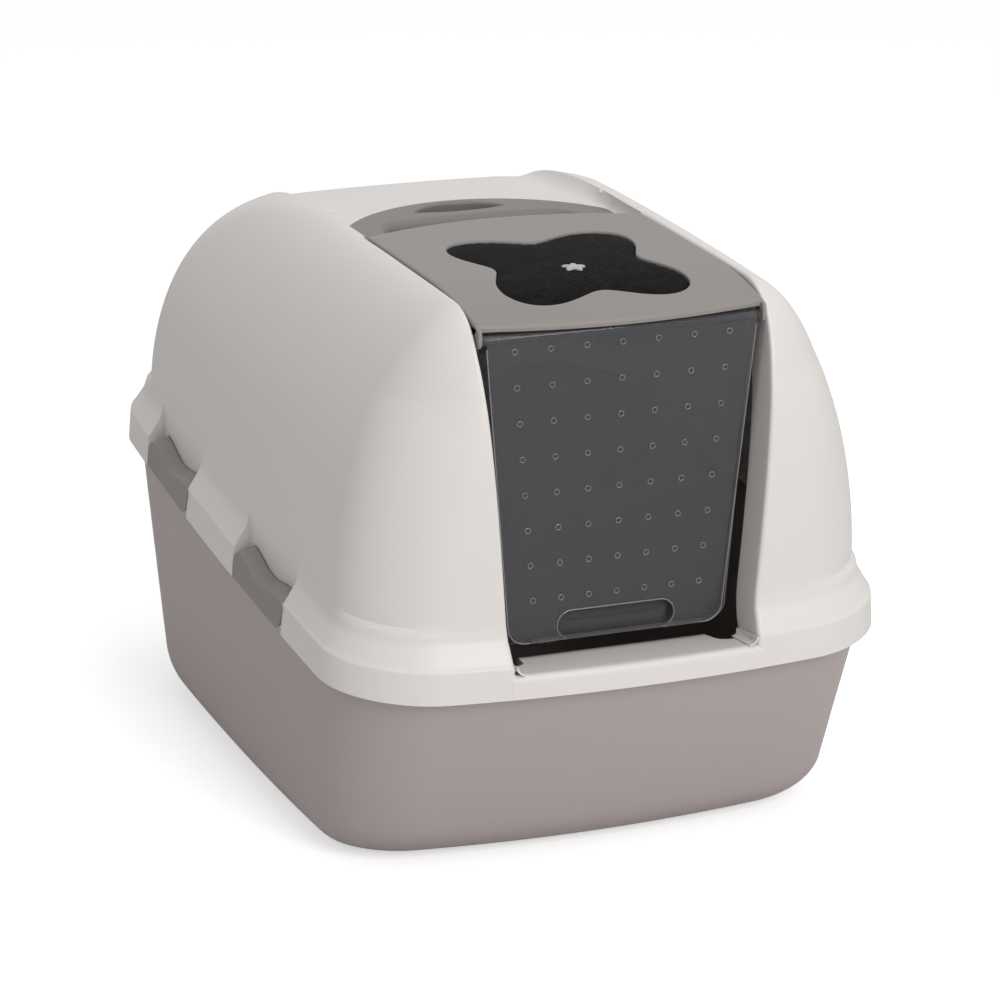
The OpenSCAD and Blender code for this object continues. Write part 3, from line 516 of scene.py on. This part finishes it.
def atClip(points, y, right=1):
    # carries points from a clip's own frame to the box: turned by the slope of the bowed side at y,
    # moved out to the side, then tilted with the seam
    bow, halfL = box["sideBow"], box["halfL"]
    turn, tilt = math.atan(2 * bow * y / halfL ** 2), math.radians(box["tilt"])
    px = points[..., 0] * math.cos(turn) - points[..., 1] * math.sin(turn)
    px = px + box["halfW"] - bow * (y / halfL) ** 2
    py = points[..., 0] * math.sin(turn) + points[..., 1] * math.cos(turn) + y
    out = np.stack([right * px, py * math.cos(tilt) - points[..., 2] * math.sin(tilt),
                    py * math.sin(tilt) + points[..., 2] * math.cos(tilt) + box["seamZ"]], -1)
    return out if right == 1 else out[:, ::-1]


# two lugs under the rim carry each clip's pin
lugs = [atClip(blockGrid((-9.3, s * pan["lugGap"] - 3, 0.6), (-3.7, s * pan["lugGap"] + 3, 7.2)), y, right)
        for y in pan["clipYs"] for s in (-1, 1) for right in (1, -1)]
panMesh = toMesh("pan", [panHalf, mirrored(panHalf)] + lugs)
panBody = addPiece("pan_body", panMesh, "base", panTaupe, ["pan"])
print("pan made:", len(panBody.data.polygons), "faces")


# lid: half width, front and back arcs, droop towards the front, edge, and the pad's seat
lid = dict(half=97.6, backY=3, backR=237.3, frontY=-213, frontR=683.9, flatY=-110, droop=12, wall=2.5,
           rim=9, lip=3.5, edgeRound=1.6, padY=-119, padR=64.5, lobe=15, stretch=1.1, hingeY=-21, hingeZ=367)
padCentre = np.array([0, lid["padY"]])
axisY, axisZ = -206, 351.5  # the door's hinge line, in the lid's two ears


def lidTop(y):
    # height of the lid's top: level, then droop * (distance in front of flatY / 103)^2.6 lower
    return box["topZ"] - lid["droop"] * (np.maximum(lid["flatY"] - y, 0) / 103) ** 2.6


def clover(a, g):
    # outline of the pad, g further out: r = mean radius - lobe * cos(4a), stretched from front to back
    r = lid["padR"] - lid["lobe"] * np.cos(4 * a) + g
    return np.stack([r * np.cos(a), r * lid["stretch"] * np.sin(a) + lid["padY"]], -1)


def lidOutline(direction, t):
    # where rays from the pad's middle meet the lid's outline drawn in by t: two sides and two arcs
    dx, dy = direction[:, 0], direction[:, 1]
    side = (lid["half"] - t) / np.maximum(np.abs(dx), 1e-6)

    def circle(cy, r):
        # distance to a circle round (0, cy): the larger root of the ray's quadratic
        b = dy * (lid["padY"] - cy)
        return -b + np.sqrt(np.maximum(b * b + r * r - (lid["padY"] - cy) ** 2, 0))

    return np.minimum(side, np.minimum(circle(lid["backY"] - lid["backR"], lid["backR"] - t),
                                       circle(lid["frontY"] + lid["frontR"], lid["frontR"] - t)))


# even rays from the pad's middle, with three close together at each corner of the lid
corners = np.array([math.atan2(yc - lid["padY"], xc)
                    for xc in (lid["half"], -lid["half"]) for yc in (-17.8, -206.0)])
rays = np.concatenate([np.linspace(-np.pi, np.pi, 361)[:-1], corners - 0.006, corners, corners + 0.006])
rays = np.sort(rays)
rays = np.append(rays, rays[0] + 2 * np.pi)
seatEdge = clover(rays, 0.4)
toward = seatEdge - padCentre
toward /= np.linalg.norm(toward, axis=1)[:, None]


def lidPoint(t):
    # the lid's outline drawn in by t, one point for each ray
    return padCentre + toward * lidOutline(toward, t)[:, None]


def lifted(plan, drop):
    # plan points put at a drop below the lid's top
    return np.concatenate([plan, (lidTop(plan[:, 1]) - drop)[:, None]], 1)


rows = [lifted(seatEdge, 5.5), lifted(seatEdge, 3), lifted(seatEdge, 0.7),
        lifted(seatEdge + toward * 0.25, 0.25), lifted(seatEdge + toward * 0.8, 0)]
inside, outside = seatEdge + toward * 0.8, lidPoint(lid["edgeRound"])
rows += [lifted(inside + (outside - inside) * s, 0) for s in np.linspace(0, 1, 26)[1:]]
for a in np.radians([22, 45, 67, 90]):
    rows.append(lifted(lidPoint(lid["edgeRound"] * (1 - math.sin(a))),
                       lid["edgeRound"] * (1 - math.cos(a))))
outer = lidPoint(0)
atFront = smooth((-outer[:, 1] - 198) / 10)
rimDrop = lid["rim"] + (lid["lip"] - lid["rim"]) * atFront
rows += [lifted(outer, lid["edgeRound"] + (rimDrop - lid["edgeRound"]) * s) for s in (0.35, 0.7, 1)]
lidMesh = toMesh("lid", [np.array(rows)[:, ::-1]])


def rodX(x0, x1, y, z, r, round=0.3):
    # a round bar along X: circles of radius q at each x, smaller towards the ends so that they are soft
    a = np.linspace(0, 2 * np.pi, 33)
    steps = [(x0, 0), (x0, r - round), (x0 + round * 0.3, r - round * 0.3), (x0 + round, r)]
    steps += [(x1 - round, r), (x1 - round * 0.3, r - round * 0.3), (x1, r - round), (x1, 0)]
    return np.array([np.stack([np.full(33, x), y + q * np.cos(a), z + q * np.sin(a)], -1) for x, q in steps])


def earGrid(sign):
    # ear at a front corner of the lid: a plate whose outline is a circle round the door's stub below
    # and an ellipse that reaches up to the lid's top above, shrunk a little at both faces
    a = np.linspace(0, 2 * np.pi, 49)
    y, z = axisY + 4.7 * np.cos(a), axisZ + 4.7 * np.sin(a)
    up = np.sin(a) > 0
    z = np.where(up, np.minimum(axisZ + 12 * np.sin(a), lidTop(y) - 1), z)
    y = np.where(up & (np.cos(a) > 0), y + 10 * np.sin(a), y)
    steps = [(95.0, 0), (95.0, 0.94), (95.3, 1), (97.3, 1), (97.6, 0.94), (97.6, 0)]
    grid = np.array([np.stack([np.full(49, sign * x), -204 + (y + 204) * k, 352 + (z - 352) * k], -1)
                     for x, k in steps])
    return grid if sign > 0 else grid[:, ::-1]


lidPlate = addPiece("lid_plate", lidMesh, "lid", lidTaupe, ["lid"], wall=lid["wall"])
# the seat is a disc of the pad's outline: share of the outline and height of each ring
seatRings = ((0, 363.8), (0.5, 363.8), (0.98, 363.8), (1, 363.3), (1, 359.6), (0.98, 359.1),
             (0.5, 359.1), (0, 359.1))
seatDisc = np.array([np.concatenate([padCentre + (clover(rays, 2.4) - padCentre) * k,
                                     np.full((len(rays), 1), z)], 1) for k, z in seatRings])
seatDisc[:, :, 2] -= box["topZ"] - lidTop(seatDisc[:, :, 1])
addPiece("lid_seat", toMesh("lid_seat", [seatDisc]), "lid", lidTaupe)
stubs = [rodX(x0, x1, lid["hingeY"], lid["hingeZ"], 2.2) for x0, x1 in ((95, 100.6), (-100.6, -95))]
fittings = toMesh("lid_fittings", stubs + [earGrid(1), earGrid(-1)])
addPiece("lid_fittings", fittings, "lid", lidTaupe)
print("lid made:", len(lidPlate.data.polygons), "faces")


# filter pad: rings of the clover's outline from the middle over the crowned top and round the edge
felt = dict(crown=0.9, edge=1.4, fuzz=0.22)
a = np.linspace(-np.pi, np.pi, 241)
rings, levels = [], []
for k in np.linspace(0, 1, 30):
    rings.append(padCentre + (clover(a, -felt["edge"]) - padCentre) * k)
    levels.append(-0.35 - felt["crown"] * (k ** 6))
for q in np.radians([30, 60, 90]):
    rings.append(clover(a, -felt["edge"] * (1 - math.sin(q))))
    levels.append(-0.35 - felt["crown"] - felt["edge"] * (1 - math.cos(q)))
topRings = len(rings)
for share, z in ((1, -5.6), (0.5, -6.4), (0, -6.4)):
    rings.append(padCentre + (clover(a, 0) - padCentre) * share)
    levels.append(z)
pad = np.array([lifted(r, -z) for r, z in zip(rings, levels)])
x, y = pad[:, :, 0], pad[:, :, 1]
wave = np.sin(x * 0.9 + 1.3 * np.sin(y * 0.37)) * np.sin(y * 0.8 + x * 0.21)
pad[:, :, 2] += felt["fuzz"] * wave * (np.arange(len(rings)) < topRings)[:, None]
addPiece("filter_pad", toMesh("filter_pad", [pad[:, ::-1]]), "lid", filterFelt,
         ["filter_pad"])

# stud: a star r * (0.78 + 0.22 cos 5a) over a round stem; share of the star and height of each ring
stud = dict(r=8, y=-130, stem=2.4)
a = np.linspace(-np.pi, np.pi, 91)
star = stud["r"] * (0.78 + 0.22 * np.cos(5 * a))
starRings = [(star * k, z) for k, z in ((0, 1.6), (0.4, 1.6), (0.7, 1.55), (0.86, 1.35), (0.96, 0.95),
                                        (1, 0.4), (1, 0))]
stemRings = [(np.full(91, stud["stem"]), 0), (np.full(91, stud["stem"]), -8.2), (star * 0, -8.2)]
starTop = lidTop(np.array([stud["y"]]))[0] - 0.5
studGrid = np.array([np.stack([q * np.cos(a), stud["y"] + q * np.sin(a), np.full(91, starTop + z)], -1)
                     for q, z in starRings + stemRings])
addPiece("filter_stud", toMesh("filter_stud", [studGrid[:, ::-1]]), "lid", studGrey,
         ["filter_stud"], sharp=50)
print("filter made")


# door: face, flared rim, rows of dimples, and the pull with the height where the lower face ends
door = dict(topZ=346.5, lowZ=149, faceTop=184, faceLow=146, faceY=-209, wall=2, flare=6.4, flareLow=2.5,
            corner=12, dimpleW=4.4, dimpleDepth=0.7, pitch=23.4, drop=8, reach=73, rows=8,
            pullW=80, pullH=18, pullZ=161, splitZ=173, barR=3.4, stubR=2.3, beadR=0.4)
doorHeight = door["topZ"] - door["lowZ"]
doorCols, stadiumCols = 137, 24


def doorHalf(z):
    # half width of the face, growing evenly with height
    return (door["faceLow"] + (door["faceTop"] - door["faceLow"]) * (z - door["lowZ"]) / doorHeight) / 2


def doorLoop(k, n=40):
    # edge of the door at share k of its rim's flare: down the right side, round the corners, up the left
    r, z0 = door["corner"], door["lowZ"] + door["flareLow"] * (1 - k)
    g = door["flare"] * k
    a = np.linspace(0, -np.pi / 2, 14)
    xc = doorHalf(z0 + r) + g - r
    zs = np.linspace(door["topZ"], z0 + r, n)[:-1]
    right = np.concatenate([np.stack([doorHalf(zs) + g - 4 * k * (zs - door["lowZ"]) / doorHeight, zs], -1),
                            np.stack([xc + r * np.cos(a), z0 + r + r * np.sin(a)], -1),
                            np.stack([np.linspace(xc, 0, 24)[1:], np.full(23, z0)], -1)])
    return np.concatenate([right, (right * np.array([-1, 1]))[::-1][1:]])


def dimpleCentres():
    # rows and columns of the dimples; the columns close up downward as the door narrows
    for row in range(door["rows"]):
        zc = axisZ - door["drop"] - door["pitch"] * row
        span = door["reach"] - (doorHalf(axisZ - door["drop"]) - doorHalf(zc))
        for i in range(-3, 4):
            yield span * i / 3, zc


def pressed(x, z):
    # depth of the round dimples at points of the face: depth * (1 - (distance / radius)^2) in each
    press = np.zeros_like(x)
    for xc, zc in dimpleCentres():
        d2 = ((x - xc) ** 2 + (z - zc) ** 2) / (door["dimpleW"] / 2) ** 2
        press = np.maximum(press, door["dimpleDepth"] * np.clip(1 - d2, 0, 1))
    return press


def faceSide(n=16):
    # right edge of the lower face: along the bottom, round the corner and up to where the upper face starts
    r, z0 = door["corner"], door["lowZ"] + door["flareLow"]
    a = np.linspace(-np.pi / 2, 0, n)
    xc = doorHalf(z0 + r) - r
    zs = np.linspace(z0 + r, door["splitZ"], 9)[1:]
    return np.concatenate([np.stack([xc + (r - 0.8) * np.cos(a), z0 + r + (r - 0.8) * np.sin(a)], -1),
                           np.stack([doorHalf(zs) - 0.8, zs], -1)])


def stadium(g):
    # the pull's opening, g further out: two half circles joined by straight lines
    a = np.linspace(-np.pi / 2, np.pi / 2, stadiumCols)
    s, r = door["pullW"] / 2 - door["pullH"] / 2, door["pullH"] / 2 + g
    right = np.stack([s + r * np.cos(a), door["pullZ"] + r * np.sin(a)], -1)
    left = np.stack([-s - r * np.cos(a), door["pullZ"] - r * np.sin(a)], -1)
    loop = np.concatenate([right, left])
    return np.concatenate([loop, loop[:1]])


def planRows(rows):
    # loops of x and z, each put at its own y
    return np.array([np.stack([loop[:, 0], np.full(len(loop), y), loop[:, 1]], -1) for loop, y in rows])


flangeYs = ((0.0, -208.9), (0.03, -208.5), (0.1, -208), (0.3, -206), (0.5, -204), (0.7, -202), (0.9, -200),
            (1, -199))
flange = planRows([(doorLoop(k), y) for k, y in flangeYs])
zs = np.linspace(door["splitZ"], door["topZ"], 134)
span = np.linspace(-1, 1, doorCols)
x = (doorHalf(zs)[:, None] - 0.8) * span
z = np.repeat(zs[:, None], doorCols, 1)
upper = np.stack([x, door["faceY"] + pressed(x, z), z], -1)
# the face's top rolls back over the bar
tip = np.stack([(doorHalf(door["topZ"]) - 0.8) * span, 0 * span, 0 * span], -1)
over = [(door["faceY"], 349), (door["faceY"], 351)]
over += [(-205.6 - door["barR"] * math.cos(q), 351.2 + door["barR"] * math.sin(q))
         for q in np.radians([15, 35, 60, 90, 120])]
roof = np.concatenate([upper[-1:], np.array([tip + [0, y, z] for y, z in over])])
# lower face: a ring of rows from the pull's opening out to the edge
edge = faceSide()
edge = np.concatenate([edge, edge[:, :1] * 0], 1)
edge = pointsAt(edge, lengthAlong(edge), np.linspace(0, lengthAlong(edge)[-1], stadiumCols))[:, :2]
leftEdge = edge * np.array([-1, 1])
topLine = np.stack([edge[-1, 0] * span[::-1], np.full(doorCols, edge[-1, 1])], -1)
lowLine = np.stack([edge[0, 0] * span, np.full(doorCols, edge[0, 1])], -1)
outerLoop = np.concatenate([edge, topLine[1:-1], leftEdge[::-1], lowLine[1:]])
hole = stadium(0)
holeX = hole[stadiumCols - 1, 0] * span
holeTop = np.stack([holeX[::-1], np.full(doorCols, hole[stadiumCols - 1, 1])], -1)[1:-1]
holeLow = np.stack([holeX, np.full(doorCols, hole[0, 1])], -1)[1:]
innerLoop = np.concatenate([hole[:stadiumCols], holeTop, hole[stadiumCols:2 * stadiumCols], holeLow])
lower = planRows([(innerLoop + (outerLoop - innerLoop) * s, door["faceY"]) for s in np.linspace(0, 1, 9)])
# the rim: the face's edge joined to the flange, each row of which is spaced like that edge
lowerEdge = [planRows([(loop, door["faceY"])])[0][1:] for loop in (edge[::-1], lowLine[::-1], leftEdge)]
lip = np.concatenate([upper[::-1, -1], *lowerEdge, upper[:, 0][1:]])
places = lengthAlong(lip)
flangeAt = np.array([pointsAt(row, lengthAlong(row) / lengthAlong(row)[-1], places / places[-1])
                     for row in flange])
rimGrid = np.concatenate([lip[None], flangeAt])
doorMesh = toMesh("door", [upper, lower, rimGrid, roof])
doorPlate = addPiece("door_plate", doorMesh, "door", smokedTintAndPaintedLight, ["door"],
                     wall=door["wall"], sharp=30)

# the pull's cup: how far each loop stands outside the opening, and its y
cupRings = [(0.9, -208.9), (0.6, -209.4), (0.1, -209.5), (-0.5, -209), (-0.8, -207), (-1.3, -203),
            (-2.2, -201.9), (-4, -201.6), (-8.9, -201.6), (-8.99, -200.2), (-2, -200.2), (-0.2, -201),
            (0.9, -206.9)]
cupMesh = toMesh("door_pull", [planRows([(stadium(g), y) for g, y in cupRings])])
addPiece("door_pull", cupMesh, "door", smokedTintAndPaintedLight)
rodEnds = ((-94.4, 94.4, door["barR"]), (-97.3, -94, door["stubR"]), (94, 97.3, door["stubR"]))
rods = [rodX(x0, x1, axisY, axisZ, r) for x0, x1, r in rodEnds]
addPiece("door_bar", toMesh("door_bar", rods), "door", smokedTintAndPaintedLight)


def bead(path, y, r, closed=False):
    # thin round bead: a circle of radius r carried along a path of x and z in a plane across Y
    if closed:
        ends = path[-2:-1], path[1:2]
    else:
        ends = 2 * path[:1] - path[1:2], 2 * path[-1:] - path[-2:-1]
    run = np.concatenate([ends[0], path, ends[1]])
    along = run[2:] - run[:-2]
    side = np.stack([along[:, 1], -along[:, 0]], -1) / (np.linalg.norm(along, axis=1)[:, None] + 1e-9)
    rows = []
    for a in np.linspace(0, 2 * np.pi, 9):
        p = path + side * r * math.cos(a)
        rows.append(np.stack([p[:, 0], np.full(len(p), y + r * math.sin(a)), p[:, 1]], -1))
    return np.array(rows)


# thin beads in the painted highlight colour: a ring round each dimple, lines along the face's edge and the flange, and
# one round the pull
turn = np.linspace(0, 2 * np.pi, 25)
rings = [bead(np.stack([x + 1.75 * np.cos(turn), z + 1.75 * np.sin(turn)], -1), -208.95, 0.24, True)
         for x, z in dimpleCentres()]
lines = [bead(doorLoop(0) * [0.994, 1], -208.9, door["beadR"]), bead(doorLoop(1), -199.4, door["beadR"]),
         bead(stadium(0.4), -209.1, door["beadR"], True)]
addPiece("door_highlight_beads", toMesh("door_highlight_beads", rings + lines), "door", smokedEdgeHighlight)
print("door made:", len(doorPlate.data.polygons), "faces")


# handle: plate with its far arc, the lens-shaped opening, the cove that the fingers reach into, the well
handle = dict(level=362, farR=107.6, farY=-20, halfW=98.2, lidR=239.7, lidY=-234.3, lensHalf=34.5,
              lensFront=58, lensFar=84, coveHalf=74, coveY=47, coveCorner=24, roll=6.5, rollDown=16,
              wall=2.4, wellHalf=86, wellCentre=38)


def arcThrough(x, half, tipY, midY):
    # y of the circular arc over x that passes the tips at +-half and the middle: its radius is
    # (half^2 + sag^2) / (2 sag)
    sag = midY - tipY
    r = (half ** 2 + sag ** 2) / (2 * abs(sag))
    bow = np.sqrt(np.maximum(r * r - np.minimum(np.abs(x), half) ** 2, 0)) - (r - abs(sag))
    return tipY + math.copysign(1, sag) * bow


def handlePlate():
    # a plate between the cove's edge and the far arc, split round the lens-shaped opening
    h = handle
    # the cove's edge: up the left side, round the corner, across on a parabola, and mirrored down again
    cx, cy, r = h["coveHalf"] - h["coveCorner"], h["coveY"] - h["coveCorner"], h["coveCorner"]
    sideStart = h["lidY"] + math.sqrt(h["lidR"] ** 2 - h["coveHalf"] ** 2)
    side = np.stack([np.full(16, -h["coveHalf"]), np.linspace(sideStart, cy, 16)], -1)[:-1]
    turn = np.linspace(0, np.pi / 2, 22)
    corner = np.stack([-cx - r * np.cos(turn), cy + r * np.sin(turn)], -1)[:-1]
    middle = np.linspace(-cx, cx, 70)
    run = np.stack([middle, h["coveY"] + 4 * (1 - (middle / cx) ** 2)], -1)
    flank = np.concatenate([side, corner])
    inner = np.concatenate([flank, run, (flank * [-1, 1])[::-1]])
    # the outline, with one point for each of the cove's: along the side, then along the far arc
    n, m = len(inner), len(flank)
    stops = [0, 14, m + 7, n - m - 8, n - 15, n - 1]
    outX = np.interp(np.arange(n), stops, [-h["halfW"], -h["halfW"], -70, 70, h["halfW"], h["halfW"]])
    farArc = h["farY"] + np.sqrt(h["farR"] ** 2 - outX ** 2)
    cornerY = h["lidY"] + math.sqrt(h["lidR"] ** 2 - h["halfW"] ** 2)
    ramp = np.interp(np.arange(n), [0, 14, n - 15, n - 1], [0, 1, 1, 0])
    onSide = np.abs(outX) > h["halfW"] - 0.1
    outer = np.stack([outX, np.where(onSide, cornerY + (farArc - cornerY) * ramp, farArc)], -1)
    # half way between them runs the split, opened to two arcs at the lens
    mid = (inner + outer) / 2
    lensFront, lensFar = mid.copy(), mid.copy()
    within = np.abs(mid[:, 0]) < h["lensHalf"]
    tipY = np.interp(h["lensHalf"], mid[n // 2:n - 30, 0], mid[n // 2:n - 30, 1])
    lensFront[within, 1] = arcThrough(mid[within, 0], h["lensHalf"], tipY, h["lensFront"])
    lensFar[within, 1] = arcThrough(mid[within, 0], h["lensHalf"], tipY, h["lensFar"])

    def atHeight(plan, z):
        # plan points put at one height
        return np.concatenate([plan, np.full(plan.shape[:-1] + (1,), z)], -1)

    def strip(p, q, rows):
        # straight rows between two lines at the plate's level
        return atHeight(p + (q - p) * np.linspace(0, 1, rows)[:, None, None], h["level"])

    def rolled(line, toward, radius, down):
        # rows that roll a quarter circle from the plate down into an opening, then drop straight
        rows = [atHeight(line + toward * radius * math.sin(q), h["level"] - radius * (1 - math.cos(q)))
                for q in np.linspace(0, np.pi / 2, 8)]
        rows.append(rows[-1] + np.array([0, 0, radius - down]))
        return np.array(rows)

    tangent = np.gradient(inner, axis=0)
    into = np.stack([tangent[:, 1], -tangent[:, 0]], -1)
    into /= np.linalg.norm(into, axis=1)[:, None]
    cove = rolled(inner, into, h["roll"], h["rollDown"])
    bar = strip(inner, lensFront, 8)
    rimPart = strip(lensFar, outer, 8)
    hole = np.where(within)[0]
    hole = np.arange(hole[0] - 1, hole[-1] + 2)
    frontRoll = rolled(lensFront[hole], np.array([[0, 1.0]]), 3, 9)
    farRoll = rolled(lensFar[hole], np.array([[0, -1.0]]), 2, 14)
    outDrop = np.array([atHeight(outer, h["level"]), atHeight(outer, h["level"] - 20)])
    return [cove[::-1], bar, rimPart, frontRoll, farRoll, outDrop]


def handleWell():
    # basin under the bar: its plan, two arcs, is drawn towards a centre by a share at each height
    x = np.linspace(-1, 1, 90) * handle["wellHalf"]
    far = np.stack([x, -26 + np.sqrt(106 ** 2 - x ** 2)], -1)
    near = np.stack([-x, -233 + np.sqrt(handle["lidR"] ** 2 - x ** 2)], -1)
    loop = np.concatenate([far, near, far[:1]])
    centre = np.array([0, handle["wellCentre"]])
    steps = ((0, 359), (0, 346), (0.02, 342), (0.06, 339.6), (0.12, 339), (0.6, 339), (1, 339))
    well = np.array([np.concatenate([loop + (centre - loop) * s, np.full((len(loop), 1), float(z))], 1)
                     for s, z in steps])
    well[0, 91:179, 2] = handle["level"] - 0.4  # the near wall reaches up beside the lid's edge
    return well


addPiece("handle_plate", toMesh("handle", handlePlate()), "base", handleTaupe,
         ["handle"], wall=handle["wall"], sharp=50)
addPiece("handle_well", toMesh("handle_well", [handleWell()[::-1]]), "base", handleTaupe)
print("handle made")

# the clips are carried over from the frame and get their finish
for node in ("clip_left_front", "clip_left_back", "clip_right_front", "clip_right_back"):
    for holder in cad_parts[node].material_slots:
        holder.material = clipTaupe
print("clips finished")

# floor: pale, and a little brighter to the camera than to the box
floorMesh = bpy.data.meshes.new("floor")
floorMesh.from_pydata([(-6, -6, 0), (6, -6, 0), (6, 6, 0), (-6, 6, 0)], [], [(0, 1, 2, 3)])
floor = bpy.data.objects.new("floor", floorMesh)
bpy.context.scene.collection.objects.link(floor)
floorMat = bpy.data.materials.new("paleFloor")
floorMat.use_nodes = True
nodes, link = floorMat.node_tree.nodes, floorMat.node_tree.links.new
floorShader, seen = nodes["Principled BSDF"], nodes.new("ShaderNodeLightPath")
floorShader.inputs["Base Color"].default_value = (0.86, 0.86, 0.86, 1)
floorShader.inputs["Roughness"].default_value = 0.9
floorShader.inputs["Specular IOR Level"].default_value = 0.1
floorShader.inputs["Emission Color"].default_value = (1, 1, 1, 1)
glow = mathNode(floorMat.node_tree, "MULTIPLY", seen.outputs["Is Camera Ray"], 0.55)
link(glow, floorShader.inputs["Emission Strength"])
floor.data.materials.append(floorMat)

# world: white to camera, reflection and transmission rays, dimmer as a light
world = bpy.data.worlds.new("studio")
bpy.context.scene.world = world
world.use_nodes = True
nodes, link = world.node_tree.nodes, world.node_tree.links.new
seen, white = nodes.new("ShaderNodeLightPath"), nodes["Background"]
either = mathNode(world.node_tree, "MAXIMUM", seen.outputs["Is Camera Ray"], seen.outputs["Is Glossy Ray"])
both = mathNode(world.node_tree, "MAXIMUM", either, seen.outputs["Is Transmission Ray"])
level = nodes.new("ShaderNodeMapRange")
level.inputs["To Min"].default_value, level.inputs["To Max"].default_value = 0.4, 1.0
link(both, level.inputs["Value"])
link(level.outputs["Result"], white.inputs["Strength"])
white.inputs["Color"].default_value = (1, 1, 1, 1)


def addLamp(name, place, target, size, watts):
    # a round area lamp at a place, turned towards its target
    lamp = bpy.data.lights.new(name, "AREA")
    lamp.shape, lamp.size, lamp.energy = "DISK", size, watts
    holder = bpy.data.objects.new(name, lamp)
    bpy.context.scene.collection.objects.link(holder)
    holder.location = place
    holder.rotation_euler = (Vector(target) - Vector(place)).to_track_quat("-Z", "Y").to_euler()


addLamp("key", (0.35, -2.6, 1.6), (0, 0, 0.2), 1.6, 36)
addLamp("above", (0.2, -0.3, 2.4), (0, 0, 0.2), 2.0, 16)

# camera: place, direction of view, roll in degrees and focal length in pixels of a picture 1000 wide
view = dict(place=(-1.0383, -2.4949, 1.0665), forward=(0.36685, 0.87593, -0.31331), roll=1.0, focal=4211.5)
camData = bpy.data.cameras.new("camera")
camera = bpy.data.objects.new("camera", camData)
bpy.context.scene.collection.objects.link(camera)
bpy.context.scene.camera = camera
camData.sensor_width = 36
camData.lens = view["focal"] / 1000 * 36
forward = Vector(view["forward"]).normalized()
right = forward.cross(Vector((0, 0, 1))).normalized()
up = right.cross(forward)
c, s = math.cos(math.radians(view["roll"])), math.sin(math.radians(view["roll"]))
right, up = right * c + up * s, up * c - right * s
turned = Matrix((right, up, -forward)).transposed().to_4x4()
camera.matrix_world = Matrix.Translation(view["place"]) @ turned
bpy.context.scene.view_settings.view_transform = "Standard"
